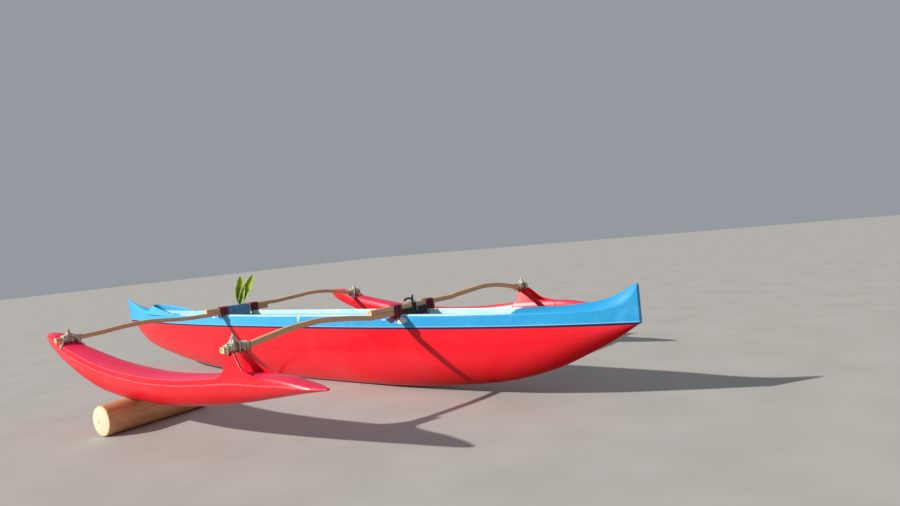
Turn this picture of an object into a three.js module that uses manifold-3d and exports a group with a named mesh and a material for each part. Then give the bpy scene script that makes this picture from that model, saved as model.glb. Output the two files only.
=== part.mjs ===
// Double outrigger canoe with its float resting on a log.
// Millimetres, +Z up. X runs aft (bow at -X), Y to starboard (port float at -Y).
// The origin lies on the floor, on the centre plane, at half of the hull's length.

import * as THREE from 'three';
import * as BufferGeometryUtils from 'three/addons/utils/BufferGeometryUtils.js';
import Module from 'manifold-3d';

const wasm = await Module();
wasm.setup();

// Driving dimensions

const HALF_LENGTH = 4250;
const CLEARANCE = 0.3;
const HULL_WALL = 12;
const DECK_WALL = 14;
const BREADTH_AMIDSHIPS = 262;
const SEAM_MID = 638;
const SEAM_RISE = 33;
const BOW_STEM_FOOT = -4190;
const BOW_TIP_FOOT = 998;
const STERN_END = 4250;
const SIDE_DECK_WIDTH = 45;
const CROWN_POWER = 2.5;
const RIDGE_POWER = 1.3;
const RIDGE_X = 3800;

const COCKPIT_AFT = 3168;
const HOOD_END = -2500;
const HOOD_LENGTH = 880;
const HOOD_HEIGHT = 76;
const HOOD_REACH = 0.9;
const CAVITY_FORE = -3700;
const CAVITY_AFT = 3260;
const PANEL_JOINT_AFT = 3020;

const FORE_BOOM_X = -1199;
const AFT_BOOM_X = 1876;
const BOOM_DEPTH = 46;
const BOOM_WIDTH = 56;
const BOOM_EDGE = 7;
const BOOM_FLAT_END = 615;
const BOOM_LEVEL_END = 2200;
const FLOAT_Y = 2050;
const PEG_RADIUS = 15;
const PEG_HEIGHT = 88;
const GUNWALE_LASHING_Y = 226;
const AFT_PORT_LASHING_Y = 252;
const GUNWALE_LASHING_WIDTH = 112;
const LASHING_THICKNESS = 9;

const LOG_RADIUS = 142;
const LOG_NEAR_END = [152, -2358];
const LOG_FAR_END = [46, -1337];

// Hull sections. seamHalf is the half breadth where the red hull meets the blue deck moulding,
// crease is the upper outer edge of the blue band and crown the deck's height on the centre plane.
const HULL_COLUMNS = ['x', 'keel', 'seamHalf', 'crease', 'crown'];
const HULL_STATIONS = [
  [-4250, 1005, 7, 1004, 1020],
  [-4190, 667, 11, 945, 985],
  [-4033, 592, 27, 868, 932],
  [-3868, 462, 53, 820, 888],
  [-3566, 316, 98, 788, 838],
  [-2938, 184, 168, 768, 806],
  [-2353, 98, 211, 760, 796],
  [-1500, 28, 247, 755, 795],
  [0, 0, 262, 750, 790],
  [1500, 7, 260, 750, 788],
  [2353, 60, 243, 750, 786],
  [2953, 133, 213, 755, 790],
  [3440, 262, 165, 762, 807],
  [3885, 460, 97, 778, 846],
  [4092, 572, 55, 804, 907],
  [4190, 633, 36, 868, 960],
  [4250, 672, 26, 958, 984],
];

// Float sections. half is the half breadth of the deck at its upper crease.
const FLOAT_COLUMNS = ['x', 'bottom', 'crease', 'half'];
const FLOAT_STATIONS = [
  [-1690, 790, 838, 26],
  [-1645, 740, 851, 44],
  [-1417, 628, 838, 72],
  [-1199, 555, 756, 92],
  [-1030, 502, 716, 102],
  [-752, 413, 664, 114],
  [-281, 312, 590, 126],
  [243, 272, 542, 131],
  [720, 270, 524, 131],
  [1156, 292, 534, 128],
  [1556, 331, 562, 121],
  [2009, 389, 597, 104],
  [2415, 459, 601, 84],
  [2782, 521, 567, 55],
  [2930, 541, 553, 14],
];

// Boom paths: v is the distance outboard, the rest are heights of the booms' centre lines above the
// gunwale's rim. On the hull the starboard booms lie on the port ones.
const LOWER_FLAT = BOOM_DEPTH / 2 + CLEARANCE;
const UPPER_FLAT = LOWER_FLAT + BOOM_DEPTH + CLEARANCE;
const BOOM_COLUMNS = ['v', 'forePort', 'foreStarboard', 'aftPort', 'aftStarboard'];
const BOOM_SECTIONS = [
  [BOOM_FLAT_END, LOWER_FLAT, UPPER_FLAT, LOWER_FLAT, UPPER_FLAT],
  [720, 26, 78, 40, 84],
  [930, 44, 92, 68, 98],
  [1230, 66, 110, 94, 114],
  [1480, 55, 98, 83, 100],
  [1750, 30, 54, 47, 58],
  [1960, 20, 20, 18, 18],
  [BOOM_LEVEL_END, 20, 20, 18, 18],
];

const COLOURS = {
  red: [0xe3202e, 0.18, 0],
  blue: [0x3fb0ea, 0.25, 0],
  aqua: [0xcfeff2, 0.5, 0],
  wood: [0xc08d5c, 0.55, 0],
  maroon: [0x6d1f33, 0.8, 0],
  cord: [0xb9b2a6, 0.9, 0],
  cloth: [0x3d6ea5, 0.9, 0],
  leaf: [0x6f8d22, 0.5, 0],
  strap: [0x1c1c20, 0.7, 0],
  log: [0xd2a878, 0.8, 0],
};

const canoe = new THREE.Group();

function addMesh(name, geometry, colour) {
  const [hex, roughness, metalness] = COLOURS[colour];
  const material = new THREE.MeshStandardMaterial({ color: hex, roughness, metalness });
  const mesh = new THREE.Mesh(geometry, material);
  mesh.name = name;
  canoe.add(mesh);
  return mesh;
}

// Solids and booleans

function solidOf(geometry) {
  const bare = geometry.clone();
  bare.deleteAttribute('normal');
  bare.deleteAttribute('uv');
  const merged = BufferGeometryUtils.mergeVertices(bare, 1e-4);
  return new wasm.Manifold(new wasm.Mesh({
    numProp: 3,
    vertProperties: new Float32Array(merged.attributes.position.array),
    triVerts: new Uint32Array(merged.index.array),
  }));
}

function geometryOf(solid) {
  const mesh = solid.getMesh();
  const geometry = new THREE.BufferGeometry();
  geometry.setAttribute('position', new THREE.BufferAttribute(new Float32Array(mesh.vertProperties), 3));
  geometry.setIndex(new THREE.BufferAttribute(new Uint32Array(mesh.triVerts), 1));
  geometry.computeVertexNormals();
  return geometry;
}

function box(lowX, highX, lowY, highY, lowZ, highZ) {
  const geometry = new THREE.BoxGeometry(highX - lowX, highY - lowY, highZ - lowZ);
  geometry.translate((lowX + highX) / 2, (lowY + highY) / 2, (lowZ + highZ) / 2);
  return geometry;
}

// A closed skin through rings of equally many points, with both ends capped.
function loft(rings) {
  const count = rings[0].length;
  const positions = [];
  const indices = [];
  for (const ring of rings) {
    for (const point of ring) {
      positions.push(point.x, point.y, point.z);
    }
  }
  for (let i = 0; i < rings.length - 1; i += 1) {
    for (let j = 0; j < count; j += 1) {
      const a = i * count + j;
      const b = i * count + ((j + 1) % count);
      indices.push(a, b, a + count, b, b + count, a + count);
    }
  }
  const last = (rings.length - 1) * count;
  for (const [start, flip] of [[0, true], [last, false]]) {
    const ring = rings[start / count];
    const normal = new THREE.Vector3();
    const centre = ring.reduce((sum, p) => sum.add(p), new THREE.Vector3()).divideScalar(count);
    ring.forEach((p, j) => {
      const q = ring[(j + 1) % count];
      normal.add(p.clone().sub(centre).cross(q.clone().sub(centre)));
    });
    normal.normalize();
    const across = ring[1].clone().sub(ring[0]).projectOnPlane(normal).normalize();
    const up = normal.clone().cross(across);
    const flat = ring.map((p) => new THREE.Vector2(p.dot(across), p.dot(up)));
    for (const [a, b, c] of THREE.ShapeUtils.triangulateShape(flat, [])) {
      indices.push(start + a, start + (flip ? c : b), start + (flip ? b : c));
    }
  }
  const geometry = new THREE.BufferGeometry();
  geometry.setAttribute('position', new THREE.BufferAttribute(new Float32Array(positions), 3));
  geometry.setIndex(indices);
  if (signedVolume(geometry) < 0) {
    const index = geometry.index.array;
    for (let i = 0; i < index.length; i += 3) {
      [index[i + 1], index[i + 2]] = [index[i + 2], index[i + 1]];
    }
  }
  geometry.computeVertexNormals();
  return geometry;
}

function signedVolume(geometry) {
  const p = geometry.attributes.position;
  const index = geometry.index.array;
  const [a, b, c] = [new THREE.Vector3(), new THREE.Vector3(), new THREE.Vector3()];
  let sum = 0;
  for (let i = 0; i < index.length; i += 3) {
    a.fromBufferAttribute(p, index[i]);
    b.fromBufferAttribute(p, index[i + 1]);
    c.fromBufferAttribute(p, index[i + 2]);
    sum += a.dot(b.cross(c)) / 6;
  }
  return sum;
}

// A smooth value from a table of sections, by cubic steps between its rows.
function lookUp(columns, rows, name, at) {
  const column = columns.indexOf(name);
  const x = Math.min(Math.max(at, rows[0][0]), rows[rows.length - 1][0]);
  let i = 0;
  while (i < rows.length - 2 && x > rows[i + 1][0]) {
    i += 1;
  }
  const chord = (k) => (rows[k + 1][column] - rows[k][column]) / (rows[k + 1][0] - rows[k][0]);
  const slope = (k) => {
    if (k === 0) {
      return chord(0);
    }
    if (k === rows.length - 1) {
      return chord(rows.length - 2);
    }
    const before = chord(k - 1);
    const after = chord(k);
    return before * after <= 0 ? 0 : (2 * before * after) / (before + after);
  };
  const span = rows[i + 1][0] - rows[i][0];
  const t = (x - rows[i][0]) / span;
  const startWeight = 2 * t ** 3 - 3 * t ** 2 + 1;
  const endWeight = 3 * t ** 2 - 2 * t ** 3;
  const startSlope = (t ** 3 - 2 * t ** 2 + t) * span;
  const endSlope = (t ** 3 - t ** 2) * span;
  return startWeight * rows[i][column] + endWeight * rows[i + 1][column]
    + startSlope * slope(i) + endSlope * slope(i + 1);
}

const hullAt = (name, x) => lookUp(HULL_COLUMNS, HULL_STATIONS, name, x);
const floatAt = (name, x) => lookUp(FLOAT_COLUMNS, FLOAT_STATIONS, name, x);
const seamHeight = (x) => SEAM_MID + SEAM_RISE * (x / HALF_LENGTH) ** 2;

// Stations from low to high, closer together towards both ends.
function stations(low, high, count) {
  const result = [];
  for (let i = 0; i <= count; i += 1) {
    const swing = Math.sin(Math.PI * (i / count - 0.5));
    const even = 2 * (i / count) - 1;
    result.push((low + high) / 2 + ((high - low) / 2) * (0.55 * swing + 0.45 * even));
  }
  return result;
}

// Hull

function hullRing(x, inset, raise) {
  const steps = 16;
  const seam = seamHeight(x);
  const half = Math.max(hullAt('seamHalf', x) - inset, 2);
  const depth = Math.max(seam - hullAt('keel', x) - inset, 2);
  const fineness = 1 - Math.min(half / BREADTH_AMIDSHIPS, 1);
  const power = 2.25 - 0.6 * fineness;
  const ring = [];
  if (raise > 0) {
    ring.push(new THREE.Vector3(x, -half, seam + raise));
  }
  for (let i = 0; i <= steps; i += 1) {
    const angle = (Math.PI * i) / steps;
    const across = Math.sign(Math.cos(angle)) * Math.abs(Math.cos(angle)) ** (2 / power);
    const down = Math.sin(angle) ** (2 / power);
    ring.push(new THREE.Vector3(x, -half * across, seam - depth * down));
  }
  if (raise > 0) {
    ring.push(new THREE.Vector3(x, half, seam + raise));
  }
  return ring;
}

const hullOuter = loft(stations(BOW_STEM_FOOT, STERN_END - 2, 34).map((x) => hullRing(x, 0, 0)));
const hullCavity = loft(stations(CAVITY_FORE, CAVITY_AFT, 24).map((x) => hullRing(x, HULL_WALL, 40)));
addMesh('hull_shell', geometryOf(solidOf(hullOuter).subtract(solidOf(hullCavity))), 'red');

// Deck moulding: band, side decks, foredeck and afterdeck

const creaseHalf = (x) => hullAt('seamHalf', x) * 0.97;

// The deck's section is full along the cockpit and rises to a ridge towards the stern
function crownPower(x) {
  const part = THREE.MathUtils.smoothstep(x, COCKPIT_AFT, RIDGE_X);
  return CROWN_POWER + (RIDGE_POWER - CROWN_POWER) * part;
}

function deckHeight(x, y) {
  const part = Math.min(Math.abs(y) / creaseHalf(x), 1);
  const power = crownPower(x);
  const rise = (1 - part ** power) ** (1 / power);
  return hullAt('crease', x) + (hullAt('crown', x) - hullAt('crease', x)) * rise;
}

function bandFoot(x) {
  if (x >= BOW_STEM_FOOT) {
    return seamHeight(x);
  }
  return THREE.MathUtils.mapLinear(x, BOW_STEM_FOOT, -HALF_LENGTH, seamHeight(x), BOW_TIP_FOOT);
}

function deckRing(x, inset, footRise) {
  const steps = 12;
  const foot = bandFoot(x) + footRise;
  const seamHalf = Math.max(hullAt('seamHalf', x) - inset, 2);
  const half = Math.max(creaseHalf(x) - inset, 2);
  const ring = [new THREE.Vector3(x, -seamHalf, foot)];
  for (let i = 0; i <= steps; i += 1) {
    const angle = (Math.PI * i) / steps;
    const across = -Math.sign(Math.cos(angle)) * Math.abs(Math.cos(angle)) ** (2 / CROWN_POWER);
    const y = half * across;
    ring.push(new THREE.Vector3(x, y, deckHeight(x, creaseHalf(x) * across) - inset));
  }
  ring.push(new THREE.Vector3(x, seamHalf, foot));
  return ring;
}

function openingHalf(x) {
  if (x < HOOD_END) {
    const part = (HOOD_END - x) / HOOD_LENGTH;
    const widest = creaseHalf(HOOD_END) - SIDE_DECK_WIDTH;
    return widest * Math.sqrt(Math.max(1 - part * part, 0));
  }
  return creaseHalf(x) - SIDE_DECK_WIDTH;
}

function cockpitCutter() {
  const xs = [];
  for (let i = 0; i < 10; i += 1) {
    xs.push(HOOD_END - HOOD_LENGTH * Math.cos((Math.PI / 2) * (i / 10)));
  }
  for (const x of [HOOD_END, -1500, -500, 500, 1500, 2300, 2800, COCKPIT_AFT - 30]) {
    xs.push(x);
  }
  const shape = new THREE.Shape();
  shape.moveTo(xs[0], 0);
  xs.slice(1).forEach((x) => shape.lineTo(x, -openingHalf(x)));
  shape.lineTo(COCKPIT_AFT, -openingHalf(COCKPIT_AFT) + 30);
  shape.lineTo(COCKPIT_AFT, openingHalf(COCKPIT_AFT) - 30);
  xs.slice(1).reverse().forEach((x) => shape.lineTo(x, openingHalf(x)));
  const geometry = new THREE.ExtrudeGeometry(shape, { depth: 500, bevelEnabled: false });
  geometry.translate(0, 0, 600);
  return geometry;
}

const deckStations = stations(-HALF_LENGTH, STERN_END, 44);
const deckOuter = solidOf(loft(deckStations.map((x) => deckRing(x, 0, CLEARANCE))));
const deckCutter = solidOf(loft(deckStations.map((x) => deckRing(x, -CLEARANCE, -20))));
const deckCavity = solidOf(loft(stations(CAVITY_FORE, CAVITY_AFT, 26).map((x) => deckRing(x, DECK_WALL, -30))));
const deckMoulding = deckOuter.subtract(deckCavity).subtract(solidOf(cockpitCutter()));

const HALF_JOINT = CLEARANCE / 2;
const WIDE = 600;
const DECK_PANELS = [
  ['foredeck', -HALF_LENGTH - 50, HOOD_END - HALF_JOINT, -WIDE, WIDE],
  ['port_gunwale', HOOD_END + HALF_JOINT, PANEL_JOINT_AFT - HALF_JOINT, -WIDE, 0],
  ['starboard_gunwale', HOOD_END + HALF_JOINT, PANEL_JOINT_AFT - HALF_JOINT, 0, WIDE],
  ['afterdeck', PANEL_JOINT_AFT + HALF_JOINT, STERN_END + 50, -WIDE, WIDE],
];
for (const [name, lowX, highX, lowY, highY] of DECK_PANELS) {
  const panel = deckMoulding.intersect(solidOf(box(lowX, highX, lowY, highY, 500, 1200)));
  addMesh(name, geometryOf(panel), 'blue');
}

// Hood: a raised lip round the front of the cockpit, highest on the centre plane

function hoodRing(angle) {
  const widest = openingHalf(HOOD_END);
  const x = HOOD_END - HOOD_LENGTH * Math.cos(angle);
  const y = widest * Math.sin(angle);
  const outX = -Math.cos(angle) / HOOD_LENGTH;
  const outY = Math.sin(angle) / widest;
  const size = Math.hypot(outX, outY);
  const part = Math.abs(angle) / (Math.PI / 2);
  const base = deckHeight(x, y);
  const height = HOOD_HEIGHT * Math.max(1 - (part / HOOD_REACH) ** 4, 0) + 5;
  const skirt = 9 + 137 * (1 - part) ** 2;
  const profile = [
    [1, base - 26], [10, base + height - 3], [16, base + height], [24, base + height - 5],
    [24 + 0.3 * skirt, base + 0.45 * height], [24 + skirt, base - 26],
  ];
  return profile.map(([out, z]) => new THREE.Vector3(x + (outX / size) * out, y + (outY / size) * out, z));
}

const hoodAngles = Array.from({ length: 25 }, (_, i) => THREE.MathUtils.degToRad(-88 + (176 * i) / 24));
const hoodSolid = solidOf(loft(hoodAngles.map(hoodRing)));
addMesh('fore_hood', geometryOf(hoodSolid.subtract(deckCutter)), 'blue');

// Pieces inside the hull: bulkheads, seats and braces, trimmed to the cavity

function cavityTrim(gap) {
  const lower = loft(stations(CAVITY_FORE, CAVITY_AFT, 24).map((x) => hullRing(x, HULL_WALL + gap, 0)));
  const upper = loft(stations(CAVITY_FORE, CAVITY_AFT, 26).map((x) => deckRing(x, DECK_WALL + gap, -30)));
  return solidOf(lower).add(solidOf(upper));
}

const cavity = cavityTrim(2 * CLEARANCE);
const INNER_PIECES = [
  // name, low x, high x, low z, high z
  ['fore_bulkhead', -3462, -3450, 0, 1000],
  ['aft_bulkhead', 3196, 3208, 0, 1000],
  ['seat_1', -2270, -2050, 590, 612],
  ['seat_2', -830, -610, 560, 582],
  ['seat_3', 540, 760, 560, 582],
  ['seat_4', 2330, 2550, 590, 612],
  ['fore_brace', FORE_BOOM_X - 35, FORE_BOOM_X + 35, 715, 741],
  ['aft_brace', AFT_BOOM_X - 35, AFT_BOOM_X + 35, 715, 741],
];
for (const [name, lowX, highX, lowZ, highZ] of INNER_PIECES) {
  const slab = solidOf(box(lowX, highX, -WIDE, WIDE, lowZ, highZ));
  addMesh(name, geometryOf(cavity.intersect(slab)), name.includes('brace') ? 'wood' : 'aqua');
}

// Booms

// The booms rest on the inner rim of the gunwales, at the height of its highest point under them.
function rimHeight(x) {
  const fore = deckHeight(x - BOOM_WIDTH / 2, openingHalf(x - BOOM_WIDTH / 2));
  const aft = deckHeight(x + BOOM_WIDTH / 2, openingHalf(x + BOOM_WIDTH / 2));
  return Math.max(fore, aft);
}

const boomAt = (x, path, v) => rimHeight(x) + lookUp(BOOM_COLUMNS, BOOM_SECTIONS, path, v);

function boomRing(x, v, side, path, extra) {
  const step = 5;
  const z = boomAt(x, path, v);
  const slope = (boomAt(x, path, v + step) - boomAt(x, path, v - step)) / (2 * step);
  const up = new THREE.Vector3(0, -slope * side, 1).normalize();
  const depth = BOOM_DEPTH / 2 + extra;
  const width = BOOM_WIDTH / 2 + extra;
  const edge = BOOM_EDGE;
  const section = [
    [-width, -depth + edge], [-width + edge, -depth], [width - edge, -depth], [width, -depth + edge],
    [width, depth - edge], [width - edge, depth], [-width + edge, depth], [-width, depth - edge],
  ];
  const centre = new THREE.Vector3(x, v * side, z);
  return section.map(([a, b]) => centre.clone().addScaledVector(up, b).add(new THREE.Vector3(a, 0, 0)));
}

function boomGeometry(x, side, path, innerEnd, outerEnd, extra) {
  const steps = 16;
  const vs = [-innerEnd, BOOM_FLAT_END];
  for (let i = 1; i <= steps; i += 1) {
    vs.push(BOOM_FLAT_END + ((outerEnd - BOOM_FLAT_END) * i) / steps);
  }
  return loft(vs.map((v) => boomRing(x, v, side, path, extra)));
}

const BOOMS = [
  // name, x, side, path, reach of the inner end past the centre plane, reach of the outer end
  ['fore_port_boom', FORE_BOOM_X, -1, 'forePort', 435, 2180],
  ['fore_starboard_boom', FORE_BOOM_X, 1, 'foreStarboard', 462, 2150],
  ['aft_port_boom', AFT_BOOM_X, -1, 'aftPort', 310, 2150],
  ['aft_starboard_boom', AFT_BOOM_X, 1, 'aftStarboard', 610, 2150],
];
for (const [name, x, side, path, innerEnd, outerEnd] of BOOMS) {
  addMesh(name, boomGeometry(x, side, path, innerEnd, outerEnd, 0), 'wood');
}

// Room that the two stacked booms take up over the hull
const stackLow = (x) => rimHeight(x) + LOWER_FLAT - BOOM_DEPTH / 2 - CLEARANCE;
const stackHigh = (x) => rimHeight(x) + UPPER_FLAT + BOOM_DEPTH / 2 + CLEARANCE;
const STACK_HALF = BOOM_WIDTH / 2 + CLEARANCE;

// Pegs on top of the booms, over the floats

function pegGeometry(x, side, path, extra) {
  const radius = PEG_RADIUS + extra;
  const profile = [
    [0, -extra], [radius, -extra], [radius * 0.85, PEG_HEIGHT * 0.45], [radius * 0.55, PEG_HEIGHT * 0.9],
    [radius * 0.3, PEG_HEIGHT + extra], [0, PEG_HEIGHT + extra],
  ].map(([r, z]) => new THREE.Vector2(r, z));
  const geometry = new THREE.LatheGeometry(profile, 10);
  geometry.rotateX(Math.PI / 2);
  geometry.translate(x, side * FLOAT_Y, boomAt(x, path, FLOAT_Y) + BOOM_DEPTH / 2 + CLEARANCE);
  return geometry;
}

for (const [name, x, side, path] of BOOMS) {
  addMesh(name.replace('boom', 'peg'), pegGeometry(x, side, path, 0), 'wood');
}

// Gunwale lashings: bands over the stacked booms, down to the side deck on both sides

function gunwaleLashing(x, side, reach) {
  const low = rimHeight(x) - 34;
  const high = stackHigh(x);
  const inner = STACK_HALF;
  const outer = inner + LASHING_THICKNESS;
  const lowY = side * reach - GUNWALE_LASHING_WIDTH / 2;
  const highY = lowY + GUNWALE_LASHING_WIDTH;
  const whole = solidOf(box(x - outer, x + outer, lowY, highY, low, high + LASHING_THICKNESS));
  const booms = solidOf(box(x - inner, x + inner, lowY - 5, highY + 5, low - 5, high));
  return geometryOf(whole.subtract(booms).subtract(deckCutter));
}

const GUNWALE_LASHINGS = [
  // name, x, side, distance of its middle from the centre plane
  ['fore_port_gunwale_lashing', FORE_BOOM_X, -1, GUNWALE_LASHING_Y],
  ['fore_starboard_gunwale_lashing', FORE_BOOM_X, 1, GUNWALE_LASHING_Y],
  ['aft_port_gunwale_lashing', AFT_BOOM_X, -1, AFT_PORT_LASHING_Y],
  ['aft_starboard_gunwale_lashing', AFT_BOOM_X, 1, GUNWALE_LASHING_Y],
];
for (const [name, x, side, reach] of GUNWALE_LASHINGS) {
  addMesh(name, gunwaleLashing(x, side, reach), 'maroon');
}

// Cloth round the middle of the fore booms, webbing round the middle of the aft booms

// The outside of a sleeve along Y round both stacked booms.
// Each section gives y, reach fore and aft, rise and drop.
function sleeveSkin(x, sections, extra) {
  const edge = 12;
  const rings = sections.map(([y, reach, rise, drop]) => {
    const half = STACK_HALF + reach + extra;
    const top = stackHigh(x) + rise + extra;
    const bottom = stackLow(x) - drop - extra;
    return [
      [-half, bottom + edge], [-half + edge, bottom], [half - edge, bottom], [half, bottom + edge],
      [half, top - edge], [half - edge, top], [-half + edge, top], [-half, top - edge],
    ].map(([a, z]) => new THREE.Vector3(x + a, y, z));
  });
  return solidOf(loft(rings));
}

function boomSleeve(x, sections) {
  const hole = box(x - STACK_HALF, x + STACK_HALF, -WIDE, WIDE, stackLow(x), stackHigh(x));
  return sleeveSkin(x, sections, 0).subtract(solidOf(hole));
}

const SLEEVE_END = GUNWALE_LASHING_Y - GUNWALE_LASHING_WIDTH / 2 - 2;
const CLOTH_SECTIONS = [
  [-SLEEVE_END, 7, 6, 16], [-110, 9, 7, 24], [-45, 12, 9, 29], [0, 16, 13, 31], [60, 12, 10, 27],
  [SLEEVE_END - 20, 8, 6, 18],
];
const WEBBING_SECTIONS = [
  [-190, 5, 4, 14], [-60, 7, 5, 28], [10, 9, 6, 32], [90, 7, 5, 28], [164, 5, 4, 14],
];
const WEBBING_BAND = [-44, 30];

// Webbing: a sling round the lower boom, and one band over both booms
function webbingSling() {
  const booms = rimHeight(AFT_BOOM_X) + LOWER_FLAT + BOOM_DEPTH / 2;
  const [low, high] = WEBBING_BAND;
  const reach = 200;
  const x = [AFT_BOOM_X - reach, AFT_BOOM_X + reach];
  const portTop = box(...x, -WIDE, low, booms, booms + reach);
  const starboardTop = box(...x, high, WIDE, booms, booms + reach);
  const sleeve = boomSleeve(AFT_BOOM_X, WEBBING_SECTIONS);
  return sleeve.subtract(solidOf(portTop)).subtract(solidOf(starboardTop));
}

addMesh('fore_cloth_wrap', geometryOf(boomSleeve(FORE_BOOM_X, CLOTH_SECTIONS)), 'cloth');
addMesh('aft_strap_wrap', geometryOf(webbingSling()), 'strap');

// The strap's loose end: a bent tongue and an upright end, on a foot that lies on the webbing's band
function strapLoop() {
  const top = stackHigh(AFT_BOOM_X) + 8;
  const thickness = 9;
  const path = new THREE.CatmullRomCurve3([
    [-112, 20], [-102, 31], [-74, 40], [-32, 38], [-4, 30], [6, 62],
  ].map(([y, z]) => new THREE.Vector3(AFT_BOOM_X, y, top + z)));
  const rings = path.getPoints(18).map((point, i) => {
    const tangent = path.getTangent(i / 18);
    const across = new THREE.Vector3(0, -tangent.z, tangent.y);
    return [[-14, -1], [14, -1], [14, 1], [-14, 1]].map(([a, b]) => point.clone()
      .addScaledVector(across, (b * thickness) / 2).add(new THREE.Vector3(a, 0, 0)));
  });
  const foot = box(AFT_BOOM_X - 16, AFT_BOOM_X + 16, -30, 22, top - 7, top + 9);
  const post = box(AFT_BOOM_X - 9, AFT_BOOM_X + 9, -6, 12, top + 5, top + 68);
  const whole = solidOf(loft(rings)).add(solidOf(foot)).add(solidOf(post));
  return geometryOf(whole.subtract(sleeveSkin(AFT_BOOM_X, WEBBING_SECTIONS, CLEARANCE)));
}

addMesh('aft_strap_loop', strapLoop(), 'strap');

// Sprig of two broad leaves tucked into the cloth

const LEAVES = [
  // lean and turn round the stem in degrees, length, half width
  [8, -51, 356, 70],
  [31, -54, 410, 64],
];

const LEAF_FOOT_Y = 32;
const LEAF_FOOT_HALF = 7;
const LEAF_THICKNESS = 3;
const LEAF_FOLD = 0.3;
const LEAF_BOW = 16;

// A folded blade: narrow at the foot, widest below the middle, bowed at its tip
function leafSolid(foot, [lean, turn, length, halfWidth]) {
  const rings = [];
  const steps = 12;
  for (let i = 0; i <= steps; i += 1) {
    const t = i / steps;
    const swell = Math.sin(Math.PI * Math.min(t * 0.93 + 0.05, 1)) ** 0.8 * (1 - 0.25 * t);
    const half = LEAF_FOOT_HALF + (halfWidth - LEAF_FOOT_HALF) * swell;
    const bow = LEAF_BOW * t * t;
    const fold = half * LEAF_FOLD;
    const ring = [
      [-half, fold], [0, 0], [half, fold], [half, fold + LEAF_THICKNESS], [0, LEAF_THICKNESS + 1],
      [-half, fold + LEAF_THICKNESS],
    ].map(([a, b]) => new THREE.Vector3(b + bow, a, t * length)
      .applyAxisAngle(new THREE.Vector3(1, 0, 0), THREE.MathUtils.degToRad(-lean))
      .applyAxisAngle(new THREE.Vector3(0, 0, 1), THREE.MathUtils.degToRad(turn))
      .add(foot));
    rings.push(ring);
  }
  return solidOf(loft(rings));
}

function leafSprig() {
  const top = stackHigh(FORE_BOOM_X) + 14;
  const foot = new THREE.Vector3(FORE_BOOM_X, LEAF_FOOT_Y, top);
  const stem = new THREE.CylinderGeometry(11, 13, 38, 10).rotateX(Math.PI / 2);
  stem.translate(FORE_BOOM_X + 2, LEAF_FOOT_Y, top + 10);
  const whole = LEAVES.reduce((sum, leaf) => sum.add(leafSolid(foot, leaf)), solidOf(stem));
  return geometryOf(whole.subtract(sleeveSkin(FORE_BOOM_X, CLOTH_SECTIONS, CLEARANCE)));
}

addMesh('leaf_sprig', leafSprig(), 'leaf');

// Floats

const FLOAT_CHINE_DROP = 46;
const FLOAT_CHINE_FLARE = 16;
const FLOAT_CROWN = 11;

// A flat-topped section with a second crease, the chine, a little lower and further out
function floatRing(x, side, extra) {
  const half = floatAt('half', x) + extra;
  const crease = floatAt('crease', x) + extra;
  const bottom = floatAt('bottom', x) - extra;
  const depth = crease - bottom;
  const chine = crease - Math.min(FLOAT_CHINE_DROP, depth * 0.3);
  const chineHalf = half + Math.min(FLOAT_CHINE_FLARE, half * 0.15);
  const crown = Math.min(FLOAT_CROWN, half * 0.12);
  const ring = [[-half, crease], [-half * 0.55, crease + crown * 0.75], [0, crease + crown],
    [half * 0.55, crease + crown * 0.75], [half, crease], [chineHalf, chine]];
  const steps = 10;
  for (let i = 1; i < steps; i += 1) {
    const angle = (Math.PI * i) / steps;
    const across = Math.sign(Math.cos(angle)) * Math.abs(Math.cos(angle)) ** 0.9;
    ring.push([chineHalf * across, chine - (chine - bottom) * Math.sin(angle) ** 0.9]);
  }
  ring.push([-chineHalf, chine]);
  return ring.map(([y, z]) => new THREE.Vector3(x, side * FLOAT_Y + y, z));
}

function floatGeometry(side, extra) {
  const low = FLOAT_STATIONS[0][0];
  const high = FLOAT_STATIONS[FLOAT_STATIONS.length - 1][0];
  return loft(stations(low, high, 26).map((x) => floatRing(x, side, extra)));
}

addMesh('port_float', floatGeometry(-1, 0), 'red');
addMesh('starboard_float', floatGeometry(1, 0), 'red');

// Pylons: twin fins on each float that carry the aft boom. Each stands on an edge of the deck, flush with
// the float's side, and leans in towards the other.

const FIN_THICKNESS = 16;
const FIN_HEAD_REACH = 58;
const FIN_TOP = boomAt(AFT_BOOM_X, 'aftPort', FLOAT_Y) - BOOM_DEPTH / 2 - CLEARANCE;
const FIN_HEAD = [1850, 1950];
const FIN_FOOT_HEIGHT = 595;
const FIN_ROOT_DEPTH = 45;
const FIN_FORE_FLARE = 75;
const FIN_AFT_SLANT = 190;
const FIN_AFT_FLARE = 250;
const FIN_FLARE_POWER = 8;

// The outer face's distance from the float's centre plane
function finReach(x, z) {
  const crease = floatAt('crease', x);
  const part = THREE.MathUtils.clamp((z - crease) / (FIN_TOP - crease), 0, 1);
  return THREE.MathUtils.lerp(floatAt('half', x) - 1, FIN_HEAD_REACH, part);
}

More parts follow.
